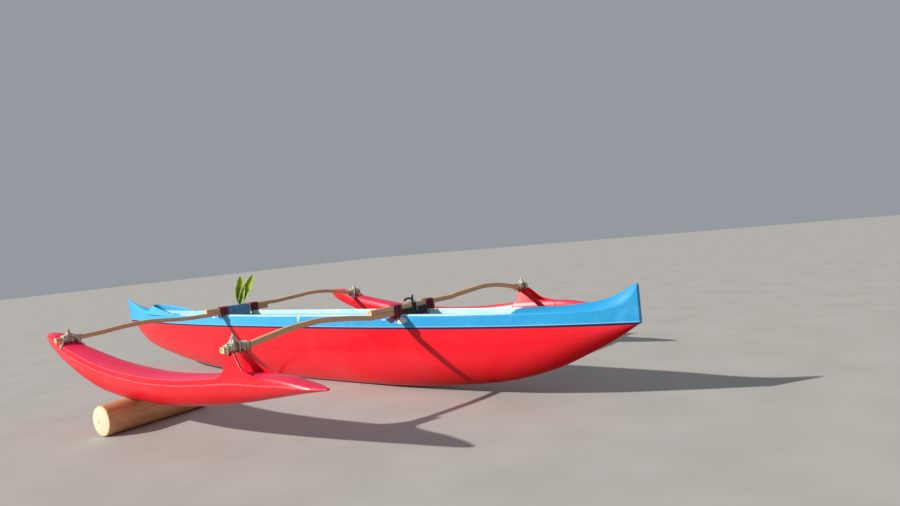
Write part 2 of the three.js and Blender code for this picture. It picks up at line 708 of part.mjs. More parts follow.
function finSolid(side, offset, extra) {
  const drops = [0, 0.25, 0.5, 0.68, 0.8, 0.88, 0.94, 1];
  const levels = drops.map((drop) => [drop, FIN_TOP + extra - drop * (FIN_TOP - FIN_FOOT_HEIGHT)]);
  levels.push([1, FIN_FOOT_HEIGHT - FIN_ROOT_DEPTH]);
  const parts = [0, 0.25, 0.5, 0.75, 1];
  const rings = levels.map(([drop, z]) => {
    const fore = FIN_HEAD[0] - extra - FIN_FORE_FLARE * drop ** FIN_FLARE_POWER;
    const aft = FIN_HEAD[1] + extra + FIN_AFT_SLANT * drop + FIN_AFT_FLARE * drop ** FIN_FLARE_POWER;
    const point = (part, inward) => {
      const x = THREE.MathUtils.lerp(fore, aft, part);
      return new THREE.Vector3(x, side * FLOAT_Y + side * offset * (finReach(x, z) - inward), z);
    };
    return [
      ...parts.map((part) => point(part, -extra)),
      ...parts.toReversed().map((part) => point(part, FIN_THICKNESS + extra)),
    ];
  });
  return solidOf(loft(rings));
}

for (const [hand, side] of [['port', -1], ['starboard', 1]]) {
  const seat = solidOf(floatGeometry(side, CLEARANCE));
  for (const [place, offset] of [['outer', 1], ['inner', -1]]) {
    addMesh(`${hand}_${place}_fin`, geometryOf(finSolid(side, offset, 0).subtract(seat)), 'red');
  }
}

// Float lashings: cord wraps round boom and float, drawn up to the peg

function wrapSolid(x, side, path, sections) {
  const sides = 16;
  const boomTop = boomAt(x, path, FLOAT_Y) + BOOM_DEPTH / 2;
  const rings = sections.map(([height, reachX, reachY]) => {
    const ring = [];
    for (let i = 0; i < sides; i += 1) {
      const angle = (2 * Math.PI * i) / sides;
      const cos = Math.cos(angle);
      const sin = Math.sin(angle);
      const stretch = 1 / (Math.abs(cos) ** 3 + Math.abs(sin) ** 3) ** (1 / 3);
      const y = side * FLOAT_Y + reachY * sin * stretch;
      ring.push(new THREE.Vector3(x + reachX * cos * stretch, y, boomTop + height));
    }
    return ring;
  });
  return solidOf(loft(rings));
}

// Heights are above the boom's top face.
const AFT_WRAP = [
  // height, reach fore and aft, reach across
  [-82, 46, 62], [-60, 52, 82], [0, 50, 88], [10, 42, 72], [30, 24, 30], [48, 19, 19],
];
const FORE_WRAP = [
  [-90, 96, 112], [-40, 82, 104], [0, 56, 84], [10, 44, 66], [30, 24, 30], [48, 19, 19],
];

for (const [name, x, side, path, innerEnd, outerEnd] of BOOMS) {
  const hand = side < 0 ? 'port' : 'starboard';
  const end = x < 0 ? 'fore' : 'aft';
  let wrap = wrapSolid(x, side, path, x < 0 ? FORE_WRAP : AFT_WRAP);
  wrap = wrap.subtract(solidOf(boomGeometry(x, side, path, innerEnd, outerEnd, CLEARANCE)));
  wrap = wrap.subtract(solidOf(pegGeometry(x, side, path, CLEARANCE)));
  wrap = wrap.subtract(solidOf(floatGeometry(side, CLEARANCE)));
  for (const offset of [1, -1]) {
    wrap = wrap.subtract(finSolid(side, offset, CLEARANCE));
  }
  addMesh(`${end}_${hand}_float_lashing`, geometryOf(wrap), 'cord');
}

// Log that the port float rests on

function logGeometry() {
  const length = Math.hypot(LOG_FAR_END[0] - LOG_NEAR_END[0], LOG_FAR_END[1] - LOG_NEAR_END[1]);
  const bevel = 10;
  const profile = [
    [0, 0], [LOG_RADIUS - bevel, 0], [LOG_RADIUS, bevel], [LOG_RADIUS, length - bevel],
    [LOG_RADIUS - bevel, length], [0, length],
  ].map(([r, z]) => new THREE.Vector2(r, z));
  const geometry = new THREE.LatheGeometry(profile, 36);
  geometry.rotateZ(-Math.PI / 2);
  geometry.rotateZ(Math.atan2(LOG_FAR_END[1] - LOG_NEAR_END[1], LOG_FAR_END[0] - LOG_NEAR_END[0]));
  geometry.translate(LOG_NEAR_END[0], LOG_NEAR_END[1], LOG_RADIUS);
  return geometry;
}

const logSolid = solidOf(logGeometry()).subtract(solidOf(floatGeometry(-1, CLEARANCE)));
addMesh('support_log', geometryOf(logSolid), 'log');

export default canoe;
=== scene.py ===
"""Looks of a double outrigger canoe whose port float rests on a log. Metres, +Z up, bow at -X, port at -Y.

The tables below are in millimetres and repeat the CAD model's sections.
"""

import math

import bmesh
import bpy
import numpy as np
from mathutils import Matrix, Vector


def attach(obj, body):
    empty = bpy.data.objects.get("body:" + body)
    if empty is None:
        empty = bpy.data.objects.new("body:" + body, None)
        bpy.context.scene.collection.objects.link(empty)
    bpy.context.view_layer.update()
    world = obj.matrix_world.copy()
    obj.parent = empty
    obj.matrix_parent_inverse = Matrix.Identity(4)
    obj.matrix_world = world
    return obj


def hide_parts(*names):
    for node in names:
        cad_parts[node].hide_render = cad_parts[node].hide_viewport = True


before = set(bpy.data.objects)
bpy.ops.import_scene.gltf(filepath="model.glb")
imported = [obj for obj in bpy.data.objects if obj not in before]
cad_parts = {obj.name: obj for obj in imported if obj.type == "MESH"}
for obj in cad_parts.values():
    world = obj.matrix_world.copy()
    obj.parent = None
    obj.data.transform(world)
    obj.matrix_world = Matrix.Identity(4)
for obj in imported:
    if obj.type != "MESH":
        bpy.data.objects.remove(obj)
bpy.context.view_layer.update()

MM = 0.001
RNG = np.random.default_rng(7)

# Camera, fitted to the photograph

CAMERA_AT = (6.2641, -4.7969, 1.4514)
CAMERA_TURN = 0.6757
CAMERA_DIP = 0.0194
CAMERA_ROLL = -0.0956
CAMERA_LENS = 25.77
SENSOR_WIDTH = 36


def make_camera():
    """Level and looking along +Y, then turned to port, tipped down and rolled."""
    data = bpy.data.cameras.new("photo_camera")
    data.lens = CAMERA_LENS
    data.sensor_width = SENSOR_WIDTH
    data.clip_start = 0.05
    data.clip_end = 300
    camera = bpy.data.objects.new("photo_camera", data)
    bpy.context.scene.collection.objects.link(camera)
    turned = Matrix.Rotation(CAMERA_TURN, 4, "Z")
    tipped = Matrix.Rotation(math.pi / 2 - CAMERA_DIP, 4, "X")
    rolled = Matrix.Rotation(CAMERA_ROLL, 4, "Z")
    camera.matrix_world = Matrix.Translation(CAMERA_AT) @ turned @ tipped @ rolled
    bpy.context.scene.camera = camera


make_camera()

# Driving dimensions, in millimetres

HALF_LENGTH = 4250
SEAM_MID = 638
SEAM_RISE = 33
BREADTH_AMIDSHIPS = 262
BOW_STEM_FOOT = -4190
BOW_TIP_FOOT = 998
STERN_END = 4250
HULL_WALL = 12
CAVITY_FORE = -3700
CAVITY_AFT = 3260
SIDE_DECK_WIDTH = 45
CROWN_POWER = 2.5
RIDGE_POWER = 1.3
RIDGE_X = 3800
COCKPIT_AFT = 3168
HOOD_END = -2500
HOOD_LENGTH = 880
HOOD_HEIGHT = 76
HOOD_REACH = 0.9
FORE_BOOM_X = -1199
AFT_BOOM_X = 1876
BOOM_DEPTH = 46
BOOM_WIDTH = 56
BOOM_FLAT_END = 615
BOOM_LEVEL_END = 2200
BRACE_WIDTH = 70
BRACE_HEIGHTS = (715, 741)
FLOAT_Y = 2050
PEG_RADIUS = 15
PEG_HEIGHT = 88
GUNWALE_LASHING_Y = 226
AFT_PORT_LASHING_Y = 252
GUNWALE_LASHING_WIDTH = 112
LASHING_THICKNESS = 9
CLEARANCE = 0.3
LOG_RADIUS = 142
LOG_NEAR_END = (152, -2358)
LOG_FAR_END = (46, -1337)

# x, keel, half breadth at the seam, upper edge of the band, crown
HULL_STATIONS = np.array([
    [-4250, 1005, 7, 1004, 1020],
    [-4190, 667, 11, 945, 985],
    [-4033, 592, 27, 868, 932],
    [-3868, 462, 53, 820, 888],
    [-3566, 316, 98, 788, 838],
    [-2938, 184, 168, 768, 806],
    [-2353, 98, 211, 760, 796],
    [-1500, 28, 247, 755, 795],
    [0, 0, 262, 750, 790],
    [1500, 7, 260, 750, 788],
    [2353, 60, 243, 750, 786],
    [2953, 133, 213, 755, 790],
    [3440, 262, 165, 762, 807],
    [3885, 460, 97, 778, 846],
    [4092, 572, 55, 804, 907],
    [4190, 633, 36, 868, 960],
    [4250, 672, 26, 958, 984],
], float)
KEEL, SEAM_HALF, CREASE, CROWN = 1, 2, 3, 4

# x, bottom, upper crease, half breadth of the deck
FLOAT_STATIONS = np.array([
    [-1690, 790, 838, 26],
    [-1645, 740, 851, 44],
    [-1417, 628, 838, 72],
    [-1199, 555, 756, 92],
    [-1030, 502, 716, 102],
    [-752, 413, 664, 114],
    [-281, 312, 590, 126],
    [243, 272, 542, 131],
    [720, 270, 524, 131],
    [1156, 292, 534, 128],
    [1556, 331, 562, 121],
    [2009, 389, 597, 104],
    [2415, 459, 601, 84],
    [2782, 521, 567, 55],
    [2930, 541, 553, 14],
], float)
FLOAT_BOTTOM, FLOAT_CREASE, FLOAT_HALF = 1, 2, 3
FLOAT_CHINE_DROP = 46
FLOAT_CHINE_FLARE = 16
FLOAT_CROWN = 11

FIN_THICKNESS = 16
FIN_HEAD_REACH = 58
FIN_HEAD = (1850, 1950)
FIN_FORE_FOOT = 583
FIN_AFT_FOOT = 598
FIN_LOWEST = 545
FIN_FORE_FLARE = 75
FIN_AFT_SLANT = 190
FIN_AFT_FLARE = 250
FIN_FLARE_POWER = 8
FIN_EDGE = 7
FIN_PROUD = 0.8

# distance outboard, heights of the fore port, fore starboard, aft port and aft starboard boom above the rim
LOWER_FLAT = BOOM_DEPTH / 2 + CLEARANCE
UPPER_FLAT = LOWER_FLAT + BOOM_DEPTH + CLEARANCE
BOOM_SECTIONS = np.array([
    [BOOM_FLAT_END, LOWER_FLAT, UPPER_FLAT, LOWER_FLAT, UPPER_FLAT],
    [720, 26, 78, 40, 84],
    [930, 44, 92, 68, 98],
    [1230, 66, 110, 94, 114],
    [1480, 55, 98, 83, 100],
    [1750, 30, 54, 47, 58],
    [1960, 20, 20, 18, 18],
    [BOOM_LEVEL_END, 20, 20, 18, 18],
], float)

# How much closer together stations lie at the ends of a run: 0 is evenly spaced
CROWDING = 0.55


def look_up(rows, column, at):
    """A smooth value from a table of sections, by cubic steps between its rows."""
    xs, ys = rows[:, 0], rows[:, column]
    chord = np.diff(ys) / np.diff(xs)
    product = chord[:-1] * chord[1:]
    total = np.where(product > 0, chord[:-1] + chord[1:], 1.0)
    slope = np.concatenate([chord[:1], np.where(product > 0, 2 * product / total, 0.0), chord[-1:]])
    x = np.clip(np.asarray(at, float), xs[0], xs[-1])
    i = np.clip(np.searchsorted(xs, x) - 1, 0, len(xs) - 2)
    span = xs[i + 1] - xs[i]
    t = (x - xs[i]) / span
    value = (2 * t**3 - 3 * t**2 + 1) * ys[i] + (3 * t**2 - 2 * t**3) * ys[i + 1]
    return value + (t**3 - 2 * t**2 + t) * span * slope[i] + (t**3 - t**2) * span * slope[i + 1]


def hull_at(column, x):
    return look_up(HULL_STATIONS, column, x)


def seam_height(x):
    return SEAM_MID + SEAM_RISE * (x / HALF_LENGTH) ** 2


def spread(low, high, count):
    """Stations from low to high, closer together towards both ends."""
    part = np.linspace(0, 1, count + 1)
    swing = np.sin(np.pi * (part - 0.5))
    return (low + high) / 2 + (high - low) / 2 * (CROWDING * swing + (1 - CROWDING) * (2 * part - 1))


def grid_of(*parts):
    """Points or UV pairs from arrays of their coordinates, spread to one size."""
    return np.stack(np.broadcast_arrays(*parts), axis=-1)


def arc_length(grid, axis):
    """Running length along one axis of a grid of points, in metres."""
    steps = np.linalg.norm(np.diff(grid, axis=axis), axis=-1) * MM
    zero = np.zeros_like(np.take(steps, [0], axis=axis))
    return np.concatenate([zero, np.cumsum(steps, axis=axis)], axis=axis)


# Mesh building

# Points nearer than the first are joined, and faces slimmer than the second are removed, in metres
JOIN_WITHIN = 2e-5
SLIMMEST = 1e-5


class Shape:
    """Collects sheets of points, in millimetres, and turns them into one object."""

    def __init__(self):
        self.points, self.faces, self.uvs, self.paints = [], [], [], []

    def sheet(self, grid, uv=None, paint=0, flip=False, round_trip=False):
        """A grid of points (rows, columns, 3). A round trip also joins the last column to the first."""
        if uv is None:
            uv = grid_of(arc_length(grid, 0), arc_length(grid, 1))
        if round_trip:
            closing = uv[:, -1:].copy()
            closing[..., 1] += np.linalg.norm(grid[:, :1] - grid[:, -1:], axis=-1) * MM
            grid = np.concatenate([grid, grid[:, :1]], axis=1)
            uv = np.concatenate([uv, closing], axis=1)
        rows, columns = grid.shape[:2]
        start = len(self.points)
        self.points += (grid.reshape(-1, 3) * MM).tolist()
        self.uvs += uv.reshape(-1, 2).tolist()
        for i in range(rows - 1):
            for j in range(columns - 1):
                a = start + i * columns + j
                face = (a, a + 1, a + columns + 1, a + columns)
                self.faces.append(face[::-1] if flip else face)
                self.paints.append(paint)
        return self

    def cap(self, ring, paint=0):
        """Closes a ring of points (count, 3) with a fan round its centre."""
        start = len(self.points)
        centre = ring.mean(axis=0)
        spans = ring.max(axis=0) - ring.min(axis=0)
        axes = sorted(np.argsort(spans)[1:])
        points = np.vstack([ring, centre])
        self.points += (points * MM).tolist()
        self.uvs += ((points - centre)[:, axes] * MM).tolist()
        count = len(ring)
        for j in range(count):
            self.faces.append((start + j, start + (j + 1) % count, start + count))
            self.paints.append(paint)
        return self

    def loft(self, grid, uv=None, paint=0, end_paint=0):
        """A closed body from rings of points, with a cap on the first and the last."""
        return self.sheet(grid, uv, paint, round_trip=True).cap(grid[0], end_paint).cap(grid[-1], end_paint)

    def make(self, name, materials, sharp=35, closed=True):
        """The object. Edges are sharp where faces meet at more than the given degrees."""
        mesh = bpy.data.meshes.new(name)
        mesh.from_pydata(self.points, [], self.faces)
        layer = mesh.uv_layers.new(name="UVMap")
        corners = np.zeros(len(mesh.loops), int)
        mesh.loops.foreach_get("vertex_index", corners)
        layer.data.foreach_set("uv", np.array(self.uvs)[corners].ravel())
        mesh.polygons.foreach_set("material_index", self.paints)
        for material in materials:
            mesh.materials.append(material)
        work = bmesh.new()
        work.from_mesh(mesh)
        bmesh.ops.remove_doubles(work, verts=work.verts, dist=JOIN_WITHIN)
        bmesh.ops.dissolve_degenerate(work, edges=work.edges, dist=SLIMMEST)
        if closed:
            bmesh.ops.recalc_face_normals(work, faces=work.faces)
        work.to_mesh(mesh)
        work.free()
        mesh.shade_smooth()
        mesh.set_sharp_from_angle(angle=math.radians(sharp))
        obj = bpy.data.objects.new(name, mesh)
        bpy.context.scene.collection.objects.link(obj)
        return obj


def place(obj, slot, *nodes):
    """Puts a piece on the model in place of the CAD nodes that it dresses."""
    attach(obj, "root")
    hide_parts(*nodes)


def thicken(obj, thickness, offset=0):
    """Gives a single layer of faces a thickness, in metres."""
    skin = obj.modifiers.new("skin", "SOLIDIFY")
    skin.thickness = thickness
    skin.offset = offset
    return skin


def tube(shape, path, radius, half_width=None, sides=8, up=(0, 1, 0), paint=0):
    """A tube along a path (count, 3). Its half width, across the up direction, is the radius if not given."""
    tangent = np.gradient(path, axis=0)
    tangent /= np.linalg.norm(tangent, axis=1, keepdims=True) + 1e-12
    side = np.cross(tangent, np.broadcast_to(np.array(up, float), path.shape))
    weak = np.linalg.norm(side, axis=1) < 0.05
    side[weak] = np.cross(tangent[weak], np.array([1.0, 0, 0]))
    side /= np.linalg.norm(side, axis=1, keepdims=True)
    lift = np.cross(side, tangent)
    angle = np.linspace(0, 2 * np.pi, sides, endpoint=False)[:, None]
    ring = side[:, None] * np.cos(angle) * (half_width or radius) + lift[:, None] * np.sin(angle) * radius
    shape.loft(path[:, None] + ring, paint=paint, end_paint=paint)


def rounded_box(half_width, half_depth, radius, per=4):
    """Points round a rectangle with round corners, anticlockwise from its right side."""
    angle = math.pi / 2 * (np.arange(4)[:, None] + np.linspace(0, 1, per + 1))
    corners = np.array([(1, 1), (-1, 1), (-1, -1), (1, -1)]) * (half_width - radius, half_depth - radius)
    arcs = corners[:, None] + radius * grid_of(np.cos(angle), np.sin(angle))
    return arcs.reshape(-1, 2)


def smooth_path(points, per):
    """A Catmull-Rom line through points (count, 3), with so many steps from each to the next."""
    points = np.array(points, float)
    padded = np.vstack([2 * points[0] - points[1], points, 2 * points[-1] - points[-2]])
    t = np.linspace(0, 1, per, endpoint=False)[:, None]
    out = []
    for a, b, c, d in zip(padded, padded[1:], padded[2:], padded[3:]):
        bend = 2 * a - 5 * b + 4 * c - d
        twist = 3 * b - a - 3 * c + d
        out.append(0.5 * (2 * b + (c - a) * t + bend * t**2 + twist * t**3))
    return np.vstack([*out, points[-1]])


# Materials


# Places of the colours among a mix node's inputs and outputs
MIX_FIRST, MIX_SECOND, MIX_RESULT = 6, 7, 2


def feed(socket, value):
    """Sets an input of a node to a constant, or links it to a value."""
    if isinstance(value, Value):
        value.tree.links.new(value.socket, socket)
    else:
        socket.default_value = value


def compute(tree, kind, output, inputs, **settings):
    """One output of a new node, as a value. The node's inputs are given by name or by number."""
    node = tree.nodes.new(kind)
    for name, setting in settings.items():
        setattr(node, name, setting)
    for name, value in inputs.items():
        feed(node.inputs[name], value)
    return Value(tree, node.outputs[output])


def opaque(colour):
    return colour if isinstance(colour, Value) else (*colour, 1)


def shade(colour, share):
    return tuple(share * value for value in colour)


class Value:
    """A node's output: a number, a point or a colour. Working with it adds nodes to its tree."""

    def __init__(self, tree, socket):
        self.tree = tree
        self.socket = socket

    def maths(self, kind, *others):
        return compute(self.tree, "ShaderNodeMath", 0, dict(enumerate((self, *others))), operation=kind)

    def __add__(self, other):
        return self.maths("ADD", other)

    def __sub__(self, other):
        return self.maths("SUBTRACT", other)

    def __mul__(self, other):
        return self.maths("MULTIPLY", other)

    def between(self, at_zero, at_one):
        """Goes from at_zero to at_one while the value goes from 0 to 1."""
        return self * (at_one - at_zero) + at_zero

    def step(self, low, high):
        """0 below low, 1 above high, smooth between."""
        inputs = {"Value": self, "From Min": low, "From Max": high}
        return compute(self.tree, "ShaderNodeMapRange", "Result", inputs, interpolation_type="SMOOTHSTEP")

    def band(self, low, high, soft):
        """1 between low and high."""
        return self.step(low - soft, low + soft) - self.step(high - soft, high + soft)

    def parts(self):
        """The x, y and z of a point."""
        return [compute(self.tree, "ShaderNodeSeparateXYZ", axis, {0: self}) for axis in "XYZ"]

    def noise(self, scale, detail=3, rough=0.5, warp=0):
        inputs = {"Vector": self, "Scale": scale, "Detail": detail, "Roughness": rough, "Distortion": warp}
        return compute(self.tree, "ShaderNodeTexNoise", "Fac", inputs)

    def patches(self, scale, detail, rough, low, high):
        """A mask of clouds: 0 where their noise is below low, 1 where it is above high."""
        return self.noise(scale, detail, rough).step(low, high)

    def cells(self, scale):
        return compute(self.tree, "ShaderNodeTexVoronoi", "Distance", {"Vector": self, "Scale": scale})

    def waves(self, scale, warp, direction):
        inputs = {"Vector": self, "Scale": scale, "Distortion": warp, "Detail": 1}
        return compute(self.tree, "ShaderNodeTexWave", "Fac", inputs, bands_direction=direction)

    def mix(self, first, second):
        """The first colour where the value is 0, the second one where it is 1."""
        inputs = {"Factor": self, MIX_FIRST: opaque(first), MIX_SECOND: opaque(second)}
        return compute(self.tree, "ShaderNodeMix", MIX_RESULT, inputs, data_type="RGBA")

    def over(self, mask, layer, strength=1.0):
        """This colour with a layer of another one over it, where the mask is 1."""
        return (mask * strength).mix(self, layer)


class Paint:
    """A procedural material, whose shader is fed with values."""

    def __init__(self, name, **inputs):
        self.material = bpy.data.materials.new(name)
        self.material.use_nodes = True
        self.tree = self.material.node_tree
        self.set(**inputs)

    def set(self, **inputs):
        """Feeds inputs of the shader. Their names have _ for a space."""
        for name, value in inputs.items():
            feed(self.tree.nodes["Principled BSDF"].inputs[name.replace("_", " ")], value)

    def gloss(self, specular, coat):
        self.set(Specular_IOR_Level=specular, Coat_Weight=coat)

    def coords(self, kind="Object", scale=(1, 1, 1), shift=(0, 0, 0)):
        source = compute(self.tree, "ShaderNodeTexCoord", kind, {})
        inputs = {"Vector": source, "Scale": scale, "Location": shift}
        return compute(self.tree, "ShaderNodeMapping", "Vector", inputs)

    def finish(self, colour, height=None, depth=0.0, strength=0.0):
        """Sets the shader's colour and its bumps, and gives the material."""
        self.set(Base_Color=colour)
        if height:
            inputs = {"Height": height, "Distance": depth, "Strength": strength}
            self.set(Normal=compute(self.tree, "ShaderNodeBump", "Normal", inputs))
        return self.material


RED = (0.80, 0.009, 0.021)
RED_WORN = (0.78, 0.030, 0.050)
RED_FLECK = (0.86, 0.10, 0.09)
# Dark red low on the hull's aft part: dirt, and painted shade
RED_DIRT_AND_SHADE = (0.30, 0.006, 0.006)
# The pinker red of the floats' decks is a painted reflection of the sky
RED_SKY_REFLECTED = (0.92, 0.022, 0.105)
# Pale pink of the painted highlight lines on the floats' edges
RED_EDGE_HIGHLIGHT = (0.88, 0.16, 0.20)
NAVY = (0.012, 0.018, 0.085)
BLUE = (0.014, 0.31, 0.64)
BLUE_LIGHT = (0.055, 0.45, 0.78)
BLUE_CHALK = (0.22, 0.60, 0.86)
BLUE_PALE = (0.45, 0.72, 0.86)
# White of the painted reflections on the port band
REFLECTION_WHITE = (0.80, 0.84, 0.88)
INSIDE_PALE = (0.62, 0.84, 0.84)
INSIDE_BLUE = (0.44, 0.79, 0.85)
FLECK_BLUE = (0.24, 0.66, 0.88)
FLECK_PALE = (0.80, 0.90, 0.90)
DUST = (0.40, 0.33, 0.24)
WEATHERED = (0.60, 0.46, 0.32)
LEAF_LIGHT = (0.25, 0.43, 0.01)
LEAF_DARK = (0.08, 0.20, 0.008)
# Tip colour: painted light. Foot colour: painted shade
LEAF_TIP = (0.46, 0.60, 0.04)
LEAF_FOOT = (0.03, 0.09, 0.006)
LEAF_EDGE = (0.84, 0.86, 0.26)
LEAF_RIB = (0.50, 0.60, 0.22)

# Gloss and clear coat of the red, and the gloss left where it is grimy
RED_GLOSS = 0.22
RED_COAT = 0.16
GRIMY_GLOSS = 0.02

# Share of the gloss that is left on a float's deck, whose pinker red is a painted sky reflection, and away
# from its edges
FLOAT_DECK_SHINE = 0.4
MATT_SHARE = 0.2

# Where the hull's dirt and painted shade start and are full: x in metres, and from seam to keel
DIRT_SHADE_X = (0.9, 2.6)
DIRT_SHADE_DOWN = (0.45, 0.95)
# It climbs the side by this share of the way towards the stern
DIRT_SHADE_CLIMB = 0.3
DIRT_SHADE_CLIMB_X = (3.1, 4.3)

# Half the width of the dark stripe on the seam, and the end of the pale line over it, in metres
STRIPE_HALF = 0.0095
PALE_LINE_END = 0.016

# The pale paint on the gunwale's top starts at this x, and this far past the band's upper edge, in metres
PALE_TOP_FORE = -2.35
PALE_TOP_EDGE = 0.016

# The blue fades from the first x to the second
BLUE_FADE_X = (3.6, -2.5)

# Painted reflections, as white spots on the port band: x, height, half length, half height, in metres
REFLECTION_SPOTS = [
    (-1.404, 0.752, 0.034, 0.013),
    (0.352, 0.748, 0.026, 0.012),
    (0.345, 0.722, 0.014, 0.020),
    (1.700, 0.728, 0.030, 0.006),
    (1.925, 0.722, 0.085, 0.036),
]


def add_seam_stripe(colour, from_seam):
    """The dark stripe on the seam, half of it on the hull and half on the band."""
    return colour.over(from_seam.step(STRIPE_HALF + 0.001, STRIPE_HALF - 0.001), NAVY)


def add_hull_dirt_and_shade(p, colour, at, clouds):
    """Dull and dark near the keel in the aft part: dirt, and painted shade. The UV map's u is 0 at the seam
    and 1 at the keel.
    """
    down = p.coords("UV").parts()[0]
    x = at.parts()[0]
    climbed = down + x.step(*DIRT_SHADE_CLIMB_X) * DIRT_SHADE_CLIMB
    # Mask of dirt and painted shade, deepest low down towards the stern
    dirt_and_shade = (climbed + clouds * 0.12).step(*DIRT_SHADE_DOWN) * x.step(*DIRT_SHADE_X)
    p.gloss(dirt_and_shade.between(RED_GLOSS, GRIMY_GLOSS), dirt_and_shade.between(RED_COAT, 0))
    return colour.over(dirt_and_shade, RED_DIRT_AND_SHADE, 0.8)


def add_edge_highlights(p, colour, fine, shine):
    """Painted highlight lines along the creases and chines, and matt away from them. The UV map's v is the
    distance from them.
    """
    from_edge = p.coords("UV").parts()[1]
    edge_highlight = from_edge.step(0.009, 0.001) * fine.step(0.2, 0.6)
    polish = from_edge.step(0.04, 0.13).between(shine, MATT_SHARE * shine)
    p.gloss(polish * RED_GLOSS, polish * RED_COAT)
    return colour.over(edge_highlight, RED_EDGE_HIGHLIGHT, 0.75)


def red_gelcoat(name, striped=False, edged=False, paler=False):
    """Glossy red gelcoat, with the seam's stripe and dirt and painted shade for the hull, or painted
    highlight lines along the floats' edges. A float's deck has a pinker red: a painted sky reflection.
    """
    shine = FLOAT_DECK_SHINE if paler else 1.0
    p = Paint(name, Coat_Roughness=0.12)
    p.gloss(RED_GLOSS * shine, RED_COAT * shine)
    at = p.coords()
    clouds = at.noise(1.6, 4, 0.6)
    fine = at.noise(22, 3, 0.6)
    # On a float's deck the base is the pinker red: painted sky reflection
    colour = clouds.step(0.45, 0.85).mix(RED_SKY_REFLECTED if paler else RED, RED_WORN)
    colour = colour.over(fine.step(0.62, 0.75), RED_FLECK, 0.22)
    if striped:
        colour = add_hull_dirt_and_shade(p, colour, at, clouds)
        colour = add_seam_stripe(colour, p.coords("UV").parts()[1])
    if edged:
        colour = add_edge_highlights(p, colour, fine, shine)
    scratches = p.coords(scale=(1.5, 1.5, 30)).noise(8, 4, 0.7)
    p.set(Roughness=scratches.between(0.2, 0.38))
    return p.finish(colour, at.noise(3.5, 2, 0.4), 0.004, 0.12 if paler else 0.35)


def speckle(p, at):
    """Pale paint with small light-blue flecks."""
    colour = at.patches(3, 3, 0.6, 0.35, 0.7).mix(INSIDE_PALE, INSIDE_BLUE)
    flecks = at.cells(48).step(0.33, 0.2) * at.patches(11, 3, 0.6, 0.4, 0.62)
    small = p.coords(shift=(3, 1, 2)).cells(130).step(0.24, 0.14)
    return colour.over(flecks, FLECK_BLUE, 0.7).over(small, FLECK_PALE, 0.5)


def add_reflection_spots(colour, at):
    """Ragged white spots on the port band: painted reflections."""
    x, y, z = at.parts()
    ragged = (at.noise(30, 4, 0.7) - 0.5) * 1.6
    reflection_spots = 0.0
    for spot_x, spot_z, half_x, half_z in REFLECTION_SPOTS:
        dx = (x - spot_x) * (1 / half_x)
        dz = (z - spot_z) * (1 / half_z)
        spot = (dx * dx + dz * dz + ragged).step(1.3, 0.45)
        reflection_spots = spot.maths("MAXIMUM", reflection_spots)
    return colour.over(reflection_spots * y.step(0.0, -0.1), REFLECTION_WHITE, 0.75)


def blue_gelcoat():
    """Satin blue, fading towards the bow, and the pale paint on the gunwale's top along the cockpit.

    The UV map gives the distance past the band's upper edge and the distance above the seam, in metres.
    """
    p = Paint("blue_gelcoat", Coat_Weight=0.05, Coat_Roughness=0.3, Specular_IOR_Level=0.25)
    at = p.coords()
    clouds = at.noise(2.3, 4, 0.6)
    x = at.parts()[0]
    past, above, _ = p.coords("UV").parts()
    paler = clouds * 0.5 + x.step(*BLUE_FADE_X) * 0.5
    colour = paler.step(0.2, 0.75).mix(BLUE, BLUE_LIGHT)
    colour = colour.over(at.patches(7, 5, 0.7, 0.5, 0.72), BLUE_CHALK, 0.16)
    colour = colour.over(above.step(PALE_LINE_END + 0.003, PALE_LINE_END - 0.001), BLUE_PALE, 0.45)
    colour = add_seam_stripe(colour, above)
    on_top = past.step(PALE_TOP_EDGE - 0.002, PALE_TOP_EDGE + 0.001)
    along_cockpit = x.band(PALE_TOP_FORE, COCKPIT_AFT * MM, 0.02)
    colour = colour.over(on_top * along_cockpit, speckle(p, at))
    p.set(Roughness=clouds.between(0.45, 0.65))
    return p.finish(add_reflection_spots(colour, at), at.noise(14), 0.0015, 0.3)


def speckled_interior():
    """The speckle, dusty low down."""
    p = Paint("speckled_interior", Roughness=0.55)
    at = p.coords()
    low_down = at.parts()[2].step(0.5, 0.05)
    return p.finish(speckle(p, at).over(low_down, DUST, 0.35), at.noise(160, 2), 0.0006, 0.5)


def wood(name, light, dark, layer=0, grey=0.25):
    """Wood: u in the UV map runs along the grain. The layer is one lamination's thickness, in metres."""
    p = Paint(name, Coat_Weight=0.12, Coat_Roughness=0.3)
    grain = p.coords("UV", (3, 90, 1)).noise(1.5, 6, 0.65, 0.4)
    streaks = p.coords("UV", (1.2, 26, 1)).patches(2, 4, 0.6, 0.5, 0.8)
    colour = grain.step(0.3, 0.75).mix(light, dark).over(streaks, shade(dark, 0.55), 0.5)
    colour = colour.over(p.coords().patches(5, 4, 0.6, 0.45, 0.8), WEATHERED, grey)
    if layer:
        from_joint = p.coords("UV").parts()[1].maths("PINGPONG", layer / 2)
        colour = colour.over(from_joint.step(0.0012, 0.0), shade(dark, 0.35), 0.6)
    p.set(Roughness=grain.between(0.35, 0.65))
    return p.finish(colour, grain, 0.0008, 0.5)


def end_grain(name, light, dark, ring, centre=(0.0, 0.0)):
    """Rings on a cut end. The cap's UV map is in metres round the centre."""
    p = Paint(name, Roughness=0.7)
    at = p.coords("UV", shift=(-centre[0], -centre[1], 0))
    x, y, _ = at.parts()
    radius = (x * x + y * y).maths("SQRT")
    wobble = at.noise(14, 3, 0.6) * 0.012
    rings = ((radius + wobble) * ring).maths("SINE")
    pith = (radius + at.noise(60, 2) * 0.012).step(0.022, 0.012)
    colour = rings.step(-0.6, 0.9).mix(light, dark).over(pith, shade(dark, 0.3), 0.75)
    return p.finish(colour, at.noise(120, 3, 0.6), 0.001, 0.5)


